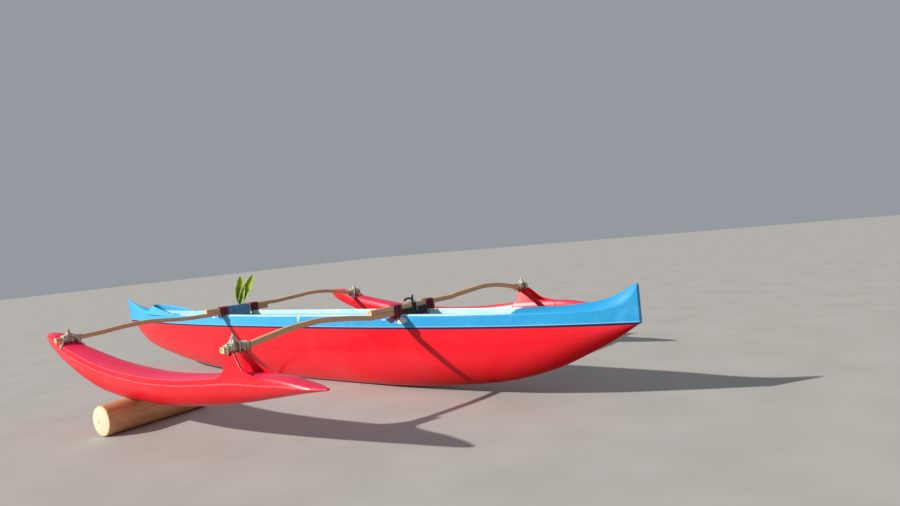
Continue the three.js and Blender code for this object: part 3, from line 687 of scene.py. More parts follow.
def cordage(name, light, dark):
    """Laid cord: slanting strands along the UV map's u."""
    p = Paint(name, Roughness=0.85)
    strands = p.coords("UV", (1, 1.6, 1)).waves(45, 0.6, "DIAGONAL")
    dirt = p.coords().patches(28, 4, 0.7, 0.45, 0.75)
    colour = strands.step(0.1, 0.7).mix(dark, light).over(dirt, shade(dark, 0.45), 0.55)
    return p.finish(colour, strands, 0.0012, 0.8)


def woven(name, light, dark):
    """Plain weave: crossed waves in the UV map, in metres, and dark patches."""
    p = Paint(name, Roughness=0.9, Sheen_Weight=0.25)
    at = p.coords("UV")
    thread = at.waves(45, 0.4, "X") * at.waves(45, 0.4, "Y")
    dirt = p.coords().patches(13, 4, 0.65, 0.4, 0.75)
    colour = thread.step(0.05, 0.6).mix(dark, light).over(dirt, dark, 0.5)
    return p.finish(colour, thread, 0.0006, 0.6)


def leaf_green():
    """Mottled green, pale at the midrib and the edges, with painted light towards the tip and painted shade
    at the foot. UV map: foot to tip and edge to edge, from 0 to 1.
    """
    p = Paint("leaf_green", Specular_IOR_Level=0.3, Roughness=0.5)
    at = p.coords()
    along, across, _ = p.coords("UV").parts()
    from_rib = (across - 0.5).maths("ABSOLUTE") * 2.0
    wave = (at.noise(22, 3) - 0.5) * 0.5
    colour = at.patches(16, 4, 0.6, 0.35, 0.7).mix(LEAF_LIGHT, LEAF_DARK)
    # Lighter towards the tip: painted light. Dark at the foot: painted shade
    colour = colour.over(along.step(0.25, 1.0), LEAF_TIP, 0.45)
    colour = colour.over(along.step(0.6, 0.15), LEAF_FOOT, 0.75)
    colour = colour.over((from_rib + wave).step(0.55, 0.95), LEAF_EDGE, 0.85)
    colour = colour.over(from_rib.step(0.05, 0.02), LEAF_RIB, 0.7)
    veins = p.coords("UV", (1, 0.35, 1)).waves(14, 1.0, "DIAGONAL")
    return p.finish(colour, veins, 0.0008, 0.4)


M_HULL = red_gelcoat("red_gelcoat_striped", striped=True)
M_FLOAT = red_gelcoat("red_gelcoat_edged", edged=True)
M_FLOAT_DECK = red_gelcoat("red_gelcoat_sky_tinted", edged=True, paler=True)
M_RED = red_gelcoat("red_gelcoat")
M_BLUE = blue_gelcoat()
M_INSIDE = speckled_interior()
M_BOOM = wood("boom_wood", (0.86, 0.54, 0.28), (0.54, 0.29, 0.13), layer=0.0115)
M_BOOM_END = end_grain("boom_end", (0.88, 0.70, 0.42), (0.62, 0.44, 0.24), 900)
M_PEG = wood("peg_wood", (0.78, 0.66, 0.46), (0.52, 0.40, 0.25))
# The brace boards' dark brown is painted shade: they lie in the shade under the booms
M_BRACE = wood("brace_wood_shaded", (0.26, 0.17, 0.10), (0.15, 0.09, 0.05))
M_LOG = wood("log_side", (0.78, 0.46, 0.22), (0.46, 0.22, 0.085), grey=0.12)
M_LOG_END = end_grain("log_end", (0.88, 0.80, 0.58), (0.74, 0.63, 0.41), 330, (-0.045, -0.012))
M_CORD = cordage("grey_cord", (0.92, 0.87, 0.76), (0.50, 0.45, 0.36))
# A dark copy of the grey cord: painted shade for turns that lie among the others
M_CORD_SHADED = cordage("grey_cord_shaded", (0.34, 0.30, 0.23), (0.14, 0.12, 0.09))
M_MAROON = cordage("maroon_lashing", (0.30, 0.025, 0.065), (0.08, 0.008, 0.022))
# Lighter, pinker maroon for some turns: partly another tone, partly painted highlight
M_MAROON_LIGHTER = cordage("maroon_lashing_lighter", (0.42, 0.11, 0.17), (0.17, 0.03, 0.06))
M_CLOTH = woven("blue_cloth", (0.17, 0.42, 0.70), (0.07, 0.20, 0.42))
M_STRAP = woven("black_webbing", (0.03, 0.03, 0.033), (0.008, 0.008, 0.01))
M_LEAF = leaf_green()

# Hull

# Fullness of the hull's sections amidships, and how much of it the sharp ends lose
HULL_POWER = 2.25
HULL_POWER_LOSS = 0.6


def hull_arcs(xs, half, depth):
    """Half-round sections hung from the seam, one for each station."""
    angle = np.linspace(0, np.pi, 61)[None]
    fullness = np.minimum(hull_at(SEAM_HALF, xs) / BREADTH_AMIDSHIPS, 1)[:, None]
    power = HULL_POWER - HULL_POWER_LOSS * (1 - fullness)
    across = np.sign(np.cos(angle)) * np.abs(np.cos(angle)) ** (2 / power)
    down = np.abs(np.sin(angle)) ** (2 / power)
    x = xs[:, None]
    return grid_of(x, -half[:, None] * across, seam_height(x) - depth[:, None] * down)


def make_hull():
    """A shell that is solid fore and aft of its hollow, whose two ends each have a double station."""
    even = spread(BOW_STEM_FOOT, STERN_END - 2, 150)
    xs = np.sort(np.append(even, [CAVITY_FORE, CAVITY_FORE, CAVITY_AFT, CAVITY_AFT]))
    first, last = np.flatnonzero((xs >= CAVITY_FORE) & (xs <= CAVITY_AFT))[[0, -1]]
    hollow = np.zeros(len(xs), bool)
    hollow[first + 1:last] = True
    half = np.maximum(hull_at(SEAM_HALF, xs), 2)
    depth = np.maximum(seam_height(xs) - hull_at(KEEL, xs), 2)
    outer = hull_arcs(xs, half, depth)
    inner = hull_arcs(xs, np.where(hollow, half - HULL_WALL, 0), np.where(hollow, depth - HULL_WALL, 0))
    run = arc_length(outer, 1)
    below = np.minimum(run, run[:, -1:] - run)
    shape = Shape().sheet(outer, grid_of(2 * below / run[:, -1:], below))
    shape.sheet(inner[first:last + 1], paint=1)
    for column in (0, -1):
        shape.sheet(np.stack([outer[:, column], inner[:, column]]), uv=np.ones((2, len(xs), 2)))
    shape.cap(outer[0]).cap(outer[-1])
    place(shape.make("hull", [M_HULL, M_INSIDE]), "red_hull", "hull_shell")


make_hull()

# Deck moulding: band, side decks, foredeck and afterdeck

CREASE_SHARE = 0.97
COCKPIT_CORNER = 30
ARC_POWER = 2 / CROWN_POWER

# The moulding's thickness, in metres
DECK_THICK = 0.005

# Steps from the band's foot to the crease, which is the column after them
BAND_PARTS = (0, 0.04, 0.3, 0.6, 0.9)
CREASE_COLUMN = len(BAND_PARTS)

# Distances inward of the opening's edge and down from it
LIP = [(0.0, 0.0), (1.5, 0.8), (3.0, 3.5)]
INNER_WALL = [(3.0, 3.5), (3.3, 8.0), (3.2, 18.0), (2.0, 45.0), (0.0, 75.0)]


def crease_half(x):
    return hull_at(SEAM_HALF, x) * CREASE_SHARE


def crown_power(x):
    """The deck's section is full along the cockpit and rises to a ridge towards the stern."""
    part = np.clip((x - COCKPIT_AFT) / (RIDGE_X - COCKPIT_AFT), 0, 1)
    return CROWN_POWER + (RIDGE_POWER - CROWN_POWER) * part * part * (3 - 2 * part)


def deck_height(x, y):
    part = np.minimum(np.abs(y) / crease_half(x), 1)
    power = crown_power(x)
    rise = (1 - part**power) ** (1 / power)
    crease = hull_at(CREASE, x)
    return crease + (hull_at(CROWN, x) - crease) * rise


def opening_half(x):
    """Half the opening's width: round under the hood, parallel to the crease, with soft aft corners."""
    x = np.asarray(x, float)
    widest = crease_half(HOOD_END) - SIDE_DECK_WIDTH
    part = np.clip((HOOD_END - x) / HOOD_LENGTH, 0, 1)
    corner = COCKPIT_CORNER * np.clip((x - COCKPIT_AFT) / COCKPIT_CORNER + 1, 0, 1) ** 2
    return np.where(x < HOOD_END, widest * np.sqrt(1 - part**2), crease_half(x) - SIDE_DECK_WIDTH - corner)


def band_foot(x):
    """The band's lower edge: the seam, and forward of the stem's foot a steep line to the bow's tip."""
    seam = seam_height(x)
    up = np.clip((BOW_STEM_FOOT - x) / (BOW_STEM_FOOT + HALF_LENGTH), 0, 1)
    return seam + (BOW_TIP_FOOT - seam) * up


def deck_uv(grid):
    """How far each point lies past the crease, and how far above the seam."""
    run = arc_length(grid, 1)
    return grid_of(run - run[:, CREASE_COLUMN:CREASE_COLUMN + 1], run)


def deck_side(xs, side, last_angle, more_angles=(), lip=()):
    """One side of the moulding, from its foot over the crease to the opening's edge and down its lip."""
    seam_half, crease, foot = hull_at(SEAM_HALF, xs), crease_half(xs), band_foot(xs) + CLEARANCE
    columns = []
    for part in BAND_PARTS:
        columns.append((seam_half + (crease - seam_half) * part, foot + (hull_at(CREASE, xs) - foot) * part))
    parts = np.linspace(0, 1, 19) ** 1.4
    angles = [last_angle * part for part in parts] + [np.full_like(xs, angle) for angle in more_angles]
    for angle in angles:
        y = crease * np.abs(np.cos(angle)) ** ARC_POWER
        columns.append((y, deck_height(xs, y)))
    edge, top = columns[-1]
    depth = np.clip(edge / 12, 0, 1)
    for inward, down in lip:
        columns.append((np.maximum(edge - inward, 0), top - down * depth))
    return np.stack([grid_of(xs, side * y, z) for y, z in columns], axis=1)


def fore_deck_stations():
    """From the bow's tip to the cockpit's aft end, closer together at the hood and the aft corners."""
    return np.concatenate([
        np.linspace(-HALF_LENGTH, BOW_STEM_FOOT, 8)[:-1],
        np.linspace(BOW_STEM_FOOT, HOOD_END - HOOD_LENGTH, 44)[:-1],
        HOOD_END - HOOD_LENGTH * np.cos(np.linspace(0, np.pi / 2, 50)),
        np.linspace(HOOD_END, COCKPIT_AFT - COCKPIT_CORNER, 100)[1:],
        np.linspace(COCKPIT_AFT - COCKPIT_CORNER, COCKPIT_AFT, 7)[1:],
    ])


def add_cockpit_end(shape):
    """The lip across the hull at the opening's aft end."""
    half = opening_half(COCKPIT_AFT)
    y = np.linspace(-half, half, 25)
    top = deck_height(COCKPIT_AFT, y)
    rows = [grid_of(COCKPIT_AFT - inward, y, top - down) for inward, down in LIP]
    shape.sheet(np.stack(rows), uv=np.ones((len(rows), len(y), 2)), flip=True)


def make_deck():
    fore = fore_deck_stations()
    aft = np.linspace(COCKPIT_AFT, STERN_END, 60)
    open_here = np.where(fore < HOOD_END - HOOD_LENGTH, 0, opening_half(fore))
    fore_angle = np.arccos(np.clip(open_here / crease_half(fore), 0, 1) ** (1 / ARC_POWER))
    last_angle = fore_angle[-1:]
    to_middle = np.linspace(last_angle[0], np.pi / 2, 10)[1:]
    shape = Shape()
    for side in (-1, 1):
        skin = deck_side(fore, side, fore_angle, lip=LIP[1:])
        shape.sheet(skin, deck_uv(skin), flip=side < 0)
        wall = deck_side(fore, side, fore_angle, lip=INNER_WALL)[:, -len(INNER_WALL):]
        shape.sheet(wall, paint=1, flip=side < 0)
        skin = deck_side(aft, side, last_angle, to_middle)
        shape.sheet(skin, deck_uv(skin), flip=side < 0)
    add_cockpit_end(shape)
    for x, flip in ((STERN_END, True), (-HALF_LENGTH, False)):
        end = np.stack([deck_side(np.array([float(x)]), side, last_angle, to_middle)[0] for side in (-1, 1)])
        shape.sheet(end, deck_uv(end), flip=flip)
    deck = shape.make("deck_moulding", [M_BLUE, M_INSIDE, M_INSIDE], sharp=50, closed=False)
    thicken(deck, DECK_THICK, offset=-1).material_offset = 1
    place(deck, "blue_deck", "foredeck", "port_gunwale", "starboard_gunwale", "afterdeck")


make_deck()

# Hood: its foot goes below the deck, and its forward slope is longest on the centre plane

HOOD_ANGLE = 88
HOOD_FOOT_DROP = 26
HOOD_EDGE = 5
HOOD_SLOPE_AT_ENDS = 9
HOOD_SLOPE_GAIN = 137


def hood_ring(angle):
    """The lip's section at one angle round the front of the opening."""
    widest = float(opening_half(HOOD_END))
    x = HOOD_END - HOOD_LENGTH * math.cos(angle)
    y = widest * math.sin(angle)
    out = np.array([-math.cos(angle) / HOOD_LENGTH, math.sin(angle) / widest])
    out /= np.linalg.norm(out)
    part = abs(angle) / (math.pi / 2)
    base = float(deck_height(x, y))
    foot = base - HOOD_FOOT_DROP
    height = HOOD_HEIGHT * max(1 - (part / HOOD_REACH) ** 4, 0) + HOOD_EDGE
    slope = HOOD_SLOPE_AT_ENDS + HOOD_SLOPE_GAIN * (1 - part) ** 2
    profile = [
        (1, foot), (4, base + 0.5 * height), (10, base + height - 3), (16, base + height),
        (24, base + height - 5), (24 + 0.3 * slope, base + 0.45 * height), (24 + slope, foot),
    ]
    line = smooth_path([(reach, z, 0) for reach, z in profile], 5)
    return [(x + out[0] * reach, y + out[1] * reach, z) for reach, z, _ in line]


def make_hood():
    """The raised lip round the front of the cockpit."""
    angles = np.radians(np.linspace(-HOOD_ANGLE, HOOD_ANGLE, 97))
    shape = Shape().loft(np.array([hood_ring(angle) for angle in angles]))
    place(shape.make("hood", [M_BLUE], sharp=60), "blue_deck", "fore_hood")


make_hood()

# Pieces inside the hull: bulkheads and seats keep their CAD shape


def dress(node, material, bevel):
    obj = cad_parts[node]
    obj.data.materials.clear()
    obj.data.materials.append(material)
    edge = obj.modifiers.new("edge", "BEVEL")
    edge.width = bevel
    edge.segments = 2
    edge.limit_method = "ANGLE"
    edge.angle_limit = math.radians(50)


def make_brace(end, x):
    """A flat board under the booms, from wall to wall of the opening."""
    half = float(opening_half(x)) - 1
    low, high = BRACE_HEIGHTS
    section = rounded_box(BRACE_WIDTH / 2, (high - low) / 2, 3)
    y = np.linspace(-half, half, 12)[:, None]
    across, up = section[:, 0], section[:, 1]
    grid = grid_of(x + across, y, (low + high) / 2 + up)
    place(Shape().loft(grid).make(f"{end}_brace_board", [M_BRACE]), "boom_wood", f"{end}_brace")


for node in ("fore_bulkhead", "aft_bulkhead", "seat_1", "seat_2", "seat_3", "seat_4"):
    dress(node, M_INSIDE, bevel=0.003)
make_brace("fore", FORE_BOOM_X)
make_brace("aft", AFT_BOOM_X)

# Booms and pegs

FORE_PORT, FORE_STARBOARD, AFT_PORT, AFT_STARBOARD = 1, 2, 3, 4

# name, x, side, column of its path, reach of its inner end past the centre plane, reach of its outer end
BOOMS = [
    ("fore_port", FORE_BOOM_X, -1, FORE_PORT, 435, 2180),
    ("fore_starboard", FORE_BOOM_X, 1, FORE_STARBOARD, 462, 2150),
    ("aft_port", AFT_BOOM_X, -1, AFT_PORT, 310, 2150),
    ("aft_starboard", AFT_BOOM_X, 1, AFT_STARBOARD, 610, 2150),
]
BOOM_EDGE = 8

# Parts of a peg's height, and its radius there as a share of the foot's
PEG_PARTS = (0, 0.45, 0.9, 1)
PEG_TAPER = (1, 0.85, 0.55, 0.3)


def rim_height(x):
    """The higher side deck under a boom's two edges."""
    edges = (x - BOOM_WIDTH / 2, x + BOOM_WIDTH / 2)
    return max(float(deck_height(edge, opening_half(edge))) for edge in edges)


def boom_at(x, path, outboard):
    return rim_height(x) + look_up(BOOM_SECTIONS, path, outboard)


def peg_radius(height):
    return np.interp(height / PEG_HEIGHT, PEG_PARTS, PEG_TAPER) * PEG_RADIUS


def make_boom(name, x, side, path, inner_end, outer_end):
    level = np.linspace(-inner_end, BOOM_FLAT_END, 10)[:-1]
    outboard = np.concatenate([level, np.linspace(BOOM_FLAT_END, outer_end, 90)])
    z = boom_at(x, path, outboard)
    slope = np.gradient(z, outboard)[:, None]
    size = np.sqrt(1 + slope**2)
    section = rounded_box(BOOM_WIDTH / 2, BOOM_DEPTH / 2, BOOM_EDGE)
    across, up = section[:, 0], section[:, 1]
    y = side * (outboard[:, None] - up * slope / size)
    grid = grid_of(x + across, y, z[:, None] + up / size)
    shape = Shape().loft(grid, end_paint=1)
    place(shape.make(f"{name}_boom_wood", [M_BOOM, M_BOOM_END]), "boom_wood", f"{name}_boom")


def make_peg(name, x, side, path):
    """A whittled peg with a slight lean and three soft ridges."""
    top = float(boom_at(x, path, FLOAT_Y)) + BOOM_DEPTH / 2 + CLEARANCE
    lean = RNG.uniform(-2, 2, 2)
    heights = np.linspace(0, PEG_HEIGHT, 14)[:, None]
    angle = np.linspace(0, 2 * np.pi, 20, endpoint=False)
    radius = peg_radius(heights) * (1 + 0.05 * np.sin(3 * angle + heights / 9))
    leaned = heights / PEG_HEIGHT
    grid = grid_of(
        x + lean[0] * leaned + radius * np.cos(angle),
        side * FLOAT_Y + lean[1] * leaned + radius * np.sin(angle),
        top + heights,
    )
    uv = grid_of(arc_length(grid, 0), angle * PEG_RADIUS * MM)
    place(Shape().loft(grid, uv).make(f"{name}_peg_wood", [M_PEG]), "boom_wood", f"{name}_peg")


for name, x, side, path, inner_end, outer_end in BOOMS:
    make_boom(name, x, side, path, inner_end, outer_end)
    make_peg(name, x, side, path)

# Gunwale lashings: turns of cord over the stacked booms, down to the side deck

LASHING_TURNS = 8
LASHING_REACH = BOOM_WIDTH / 2 + 0.55 * LASHING_THICKNESS
LASHING_CORD = 4.2
TAIL_CORD = 4.6

# How far the turns outboard of the band hang below the booms' top, and how much more every second one
LASHING_DROP = 118
LASHING_DROP_MORE = 22

# The turn in every four that is lighter and pinker: partly another tone, partly painted highlight
LIGHTER_TURN = 2

# The loose cords at the aft port lashing: height and fall of the first, drop and forward end of each
TAIL_TOP = 776
TAIL_FALL = 46
LASHING_TAILS = [(0, 1738), (9, 1752), (18, 1770), (27, 1792)]


def stack_top(x):
    """Top of the two stacked booms over the hull."""
    return rim_height(x) + UPPER_FLAT + BOOM_DEPTH / 2 + CLEARANCE


def lashing_feet(x, y, top, turn):
    """Heights of a turn's two ends: on the side deck, or hanging where it lies outboard of the band."""
    if abs(y) > crease_half(x):
        return [top - LASHING_DROP - LASHING_DROP_MORE * (turn % 2)] * 2
    return [float(deck_height(x + end * LASHING_REACH, y)) - 2 for end in (-1, 1)]


def lashing_path(x, y, top, feet, reach, slant):
    """One turn from its fore foot up, over the stack and down to its aft foot."""
    return [
        (x - reach - 1, y + slant, feet[0]),
        (x - reach, y + slant * 0.6, (feet[0] + top) / 2),
        (x - reach + 2, y, top - 6),
        (x - reach + 10, y, top + 4),
        (x, y - slant * 0.3, top + 5),
        (x + reach - 10, y, top + 4),
        (x + reach - 2, y, top - 6),
        (x + reach, y + slant * 0.6, (feet[1] + top) / 2),
        (x + reach + 1, y - slant, feet[1]),
    ]


def make_gunwale_lashing(name, x, side, from_centre):
    top = stack_top(x)
    pitch = GUNWALE_LASHING_WIDTH / LASHING_TURNS
    low_y = side * from_centre - GUNWALE_LASHING_WIDTH / 2
    shape = Shape()
    for turn in range(LASHING_TURNS):
        y = low_y + pitch * (turn + 0.5)
        slant = RNG.uniform(-5, 5)
        swell = RNG.uniform(0, 2.5)
        path = lashing_path(x, y, top, lashing_feet(x, y, top, turn), LASHING_REACH + swell, slant)
        paint = int(turn % 4 == LIGHTER_TURN)
        tube(shape, smooth_path(path, 6), LASHING_CORD, pitch * 0.52, sides=10, paint=paint)
    if from_centre == AFT_PORT_LASHING_Y:
        add_lashing_tails(shape)
    turns = shape.make(f"{name}_turns", [M_MAROON, M_MAROON_LIGHTER], sharp=70)
    place(turns, "maroon_lashing", f"{name}_gunwale_lashing")


def add_lashing_tails(shape):
    """Cords that run from the lashing's foot forward over the port band."""
    start_x = AFT_BOOM_X + 14
    for drop, end_x in LASHING_TAILS:
        path = []
        for part in np.linspace(0, 1, 6):
            x = start_x + (end_x - start_x) * part
            out = float(hull_at(SEAM_HALF, x)) + 4 + 3 * (1 - part)
            path.append((x, -out, TAIL_TOP - drop - TAIL_FALL * part))
        tube(shape, smooth_path(path, 4), TAIL_CORD)


for name, x, side, path, _, _ in BOOMS:
    make_gunwale_lashing(name, x, side, AFT_PORT_LASHING_Y if path == AFT_PORT else GUNWALE_LASHING_Y)

# Floats

# The chine's drop and flare, and the crown, as shares of the section where the float is slim
DROP_SHARE = 0.3
FLARE_SHARE = 0.15
CROWN_SHARE = 0.12
FLOAT_ROUNDNESS = 0.9
FLOAT_DECK_POINTS = 13
FLOAT_ARC_STEPS = 26
FLOAT_SOFT_REACH = 4.5

# Columns of the softened section that lie on its creases and chines
FLOAT_EDGE_COLUMNS = [1, 15, 18, 46]

# Inset of each small ring at the float's fore end, and its distance from the end
FLOAT_END_RINGS = [(10, 0), (5, 1.5), (1.6, 5)]


def float_sizes(x, inset=0.0):
    """Half breadth and height of the crease, height of the bottom, half breadth and height of the chine."""
    half = look_up(FLOAT_STATIONS, FLOAT_HALF, x) - inset
    crease = look_up(FLOAT_STATIONS, FLOAT_CREASE, x) - inset
    bottom = look_up(FLOAT_STATIONS, FLOAT_BOTTOM, x) + inset
    chine_half = half + np.minimum(FLOAT_CHINE_FLARE, half * FLARE_SHARE)
    chine = crease - np.minimum(FLOAT_CHINE_DROP, (crease - bottom) * DROP_SHARE)
    return half, crease, bottom, chine_half, chine


def soften(columns, corners, reach):
    """Rounds the named corners of a section that is a list of (y, z) arrays."""
    out = []
    for i, point in enumerate(columns):
        if i not in corners:
            out.append(point)
            continue
        ends = []
        for other in (columns[i - 1], columns[(i + 1) % len(columns)]):
            gap = other - point
            size = np.linalg.norm(gap, axis=-1, keepdims=True) + 1e-9
            ends.append(point + gap * np.minimum(reach / size, 0.45))
        out += [ends[0], 0.25 * ends[0] + 0.5 * point + 0.25 * ends[1], ends[1]]
    return out


def float_section(x, inset=0.0):
    """The section's points as (y, z) arrays: deck, starboard chine, round bottom, port chine."""
    half, crease, bottom, chine_half, chine = float_sizes(x, inset)
    crown = np.minimum(FLOAT_CROWN, half * CROWN_SHARE)
    columns = [(half * t, crease + crown * (1 - t * t)) for t in np.linspace(-1, 1, FLOAT_DECK_POINTS)]
    columns.append((chine_half, chine))
    for angle in np.linspace(0, np.pi, FLOAT_ARC_STEPS + 1)[1:-1]:
        across = np.sign(np.cos(angle)) * abs(np.cos(angle)) ** FLOAT_ROUNDNESS
        columns.append((chine_half * across, chine - (chine - bottom) * np.sin(angle) ** FLOAT_ROUNDNESS))
    columns.append((-chine_half, chine))
    corners = (0, FLOAT_DECK_POINTS - 1, FLOAT_DECK_POINTS, len(columns) - 1)
    return soften([np.stack(point, axis=-1) for point in columns], corners, FLOAT_SOFT_REACH)


def float_grid(side):
    fore_end, aft_end = FLOAT_STATIONS[0, 0], FLOAT_STATIONS[-1, 0]
    xs = spread(fore_end + 10, aft_end - 3, 130)
    rings = [(np.array([fore_end + ahead]), inset) for inset, ahead in FLOAT_END_RINGS]
    grids = []
    for at, inset in [*rings, (xs, 0.0)]:
        columns = [(side * FLOAT_Y + column[:, 0], column[:, 1]) for column in float_section(at, inset)]
        grids.append(np.stack([grid_of(at, y, z) for y, z in columns], axis=1))
    return np.concatenate(grids)


def from_float_edges(grid):
    """UV map: x, and the distance along the section from the nearest crease or chine."""
    run = arc_length(grid, 1)
    edges = run[:, FLOAT_EDGE_COLUMNS]
    nearest = np.abs(run[:, :, None] - edges[:, None, :]).min(axis=-1)
    return grid_of(grid[..., 0] * MM, nearest)


def make_float(hand, side):
    """A red float whose deck, between the creases, has the pinker paint: a painted sky reflection."""
    grid = float_grid(side)
    shape = Shape().sheet(grid, from_float_edges(grid), round_trip=True)
    first, last = FLOAT_EDGE_COLUMNS[:2]
    shape.paints = [int(first < i % grid.shape[1] < last - 1) for i in range(len(shape.paints))]
    shape.cap(grid[0]).cap(grid[-1])
    hull = shape.make(f"{hand}_float_hull", [M_FLOAT, M_FLOAT_DECK], sharp=60)
    place(hull, "red_hull", f"{hand}_float")


# Fins: two on each float, under the aft boom

# How far below the crease the fin's skirt follows the float's side, and how steeply it then dives in
FIN_SKIRT = 38
FIN_DIVE = 1.2

# Drop below the fin's top and inset of the rings that round it, then the heights of the other rings
FIN_TOP_RINGS = [(0, 4), (1.5, 1.2), (4, 0)]
FIN_SIDE_FROM = 10
FIN_FOOT_FROM = 640


def fin_reach(x, z, top):
    """The outer face's distance from the float's centre plane. It runs on down the float's side."""
    half, crease = float_sizes(x)[:2]
    risen = np.clip((z - crease) / (top - crease), 0, 1)
    below = np.maximum(crease - z, 0)
    follow = FLOAT_CHINE_FLARE / FLOAT_CHINE_DROP * below - FIN_DIVE * np.maximum(below - FIN_SKIRT, 0)
    return half + FIN_PROUD * (1 - risen) + (FIN_HEAD_REACH - half) * risen + follow


def fin_ring(z, inset, top, side, offset):
    """The plate's outline at one height: two long faces and rounded fore and aft edges."""
    fore_drop = np.clip((top - z) / (top - FIN_FORE_FOOT), 0, 1)
    aft_drop = np.clip((top - z) / (top - FIN_AFT_FOOT), 0, 1)
    fore = FIN_HEAD[0] - FIN_FORE_FLARE * fore_drop**FIN_FLARE_POWER + inset + FIN_EDGE
    aft = FIN_HEAD[1] + FIN_AFT_SLANT * aft_drop + FIN_AFT_FLARE * aft_drop**FIN_FLARE_POWER
    aft -= inset + FIN_EDGE
    half = FIN_THICKNESS / 2 - inset
    turn = np.linspace(0, np.pi / 2, 6)[1:]
    bend = FIN_EDGE * np.sin(turn)
    level = half - FIN_EDGE * (1 - np.cos(turn)) * half / (FIN_THICKNESS / 2)
    run = np.linspace(fore, aft, 30)
    face = np.full(30, half)
    x = np.concatenate([run, aft + bend, aft + bend[-2::-1], run[::-1], fore - bend, fore - bend[-2::-1]])
    across = np.concatenate([face, level, -level[-2::-1], -face, -level, level[-2::-1]])
    reach = fin_reach(x, z, top) - FIN_THICKNESS / 2 + across
    return grid_of(x, side * (FLOAT_Y + offset * reach), z)


def make_fin(hand, side, part, offset):
    top = float(boom_at(AFT_BOOM_X, AFT_PORT, FLOAT_Y)) - BOOM_DEPTH / 2 - CLEARANCE
    upper = np.linspace(top - FIN_SIDE_FROM, FIN_FOOT_FROM, 12)
    heights = np.concatenate([upper, np.linspace(FIN_FOOT_FROM - 6, FIN_LOWEST, 34)])
    rings = [fin_ring(top - drop, inset, top, side, offset) for drop, inset in FIN_TOP_RINGS]
    rings += [fin_ring(z, 0, top, side, offset) for z in heights]
    plate = Shape().loft(np.stack(rings)).make(f"{hand}_{part}_fin_plate", [M_RED], sharp=60)
    place(plate, "red_hull", f"{hand}_{part}_fin")


for hand, side in (("port", -1), ("starboard", 1)):
    make_float(hand, side)
for hand, side in (("port", -1), ("starboard", 1)):
    make_fin(hand, side, "outer", 1)
    make_fin(hand, side, "inner", -1)

# Float lashings: turns of cord round boom and peg, and slanting strands between them

CORD_RADIUS = 4.4
TIE_RADIUS = 5.2

# Distances of the turns outboard of the peg. Turns further off than SECOND_LAYER have a second one over them
FORE_TURNS = (18, 27, 36, 45, 54, 63, -18, -27, -36, -45, -54, -63, -72, -81, -90, -99, -108)
AFT_TURNS = (18, 27, 36, 66, -18, -27, -36, -66, -75, -84, -93)
SECOND_LAYER = 25

# Turns up the peg, the height they climb, and the strands at each corner of peg and boom
PEG_TURNS = 7
PEG_WOUND = 62
STRANDS = 6

# How far the strands at a corner reach along the boom, outboard and inboard of the peg
STRAND_START = 22
STRANDS_OUTBOARD = 30
STRANDS_INBOARD = 88

# Reach of each tie along the float, and 1 outboard or -1 inboard
FLOAT_TIES = [
    (-78, 1), (-66, 1), (-54, 1), (46, 1), (57, 1), (68, 1),
    (-70, -1), (-58, -1), (48, -1), (58, -1), (68, -1), (78, -1), (90, -1), (104, -1),
]


def add_boom_turn(shape, x, y, height, reach, slant, paint):
    """A closed turn of cord round a boom, at one distance outboard."""
    section = rounded_box(BOOM_WIDTH / 2 + reach, BOOM_DEPTH / 2 + reach, 11, 3)
    closed = np.vstack([section, section[:2]])
    across, up = closed[:, 0], closed[:, 1]
    path = grid_of(x + across, y + slant * across / BOOM_WIDTH, height + up)
    tube(shape, path, CORD_RADIUS, paint=int(paint))


def add_boom_turns(shape, x, side, height):
    for i, shift in enumerate(FORE_TURNS if x < 0 else AFT_TURNS):
        reach = 4.5 + 2.0 * RNG.random()
        y = side * (FLOAT_Y + shift)
        # Some turns take the dark copy of the cord: painted shade
        add_boom_turn(shape, x, y, height, reach, RNG.uniform(-6, 6), i % 3 == 1)
        if abs(shift) > SECOND_LAYER:
            add_boom_turn(shape, x, y - 4 * side, height, reach + 8, RNG.uniform(-30, 30), i % 4 == 2)


def add_peg_winding(shape, x, y, top):
    """A helix of cord up the peg, wider at its foot."""
    part = np.linspace(0, 1, 16 * PEG_TURNS)
    angle = 2 * np.pi * PEG_TURNS * part
    rise = 5 + PEG_WOUND * part
    radius = peg_radius(rise) + CORD_RADIUS + 5 * (1 - part) ** 2
    path = grid_of(x + radius * np.cos(angle), y + radius * np.sin(angle), top + rise)
    tube(shape, path, CORD_RADIUS, up=(0, 0, 1))


def strand(shape, points, radius):
    tube(shape, smooth_path(points, 5), radius, up=(0.3, 0.9, 0.2))


def add_strand(shape, x, y, top, end, out, part):
    """One strand from the peg over the boom's edge. end is 1 aft or -1 fore, out the way along the boom."""
    spread_out = STRANDS_OUTBOARD if out * y > 0 else STRANDS_INBOARD
    shift = out * (STRAND_START + spread_out * part)
    lift = 16 + 36 * (1 - part) + RNG.uniform(-3, 3)
    points = [
        (x + end * 13, y + out * 10, top + lift),
        (x + end * 30, y + 0.55 * shift, top + 0.42 * lift + 8),
        (x + end * 44, y + shift, top - 2),
        (x + end * 44, y + 1.02 * shift, top - 26 - 12 * RNG.random()),
    ]
    strand(shape, points, 0.95 * CORD_RADIUS)


def add_float_ties(shape, x, side, top):
    """Strands from the peg over the float's deck edges and down its sides."""
    y = side * FLOAT_Y
    for along, outboard in FLOAT_TIES:
        half, crease = (float(size) + CORD_RADIUS for size in float_sizes(x + along)[:2])
        out = side * outboard
        points = [
            (x + 0.2 * along, y + out * 12, top + 20),
            (x + 0.6 * along, y + out * 0.5 * half, top - 6),
            (x + 0.92 * along, y + out * 0.86 * half, crease + 11),
            (x + along, y + out * (half + 2), crease - 2),
            (x + along + 2, y + out * (half + 10), crease - 26),
        ]
        strand(shape, points, TIE_RADIUS)


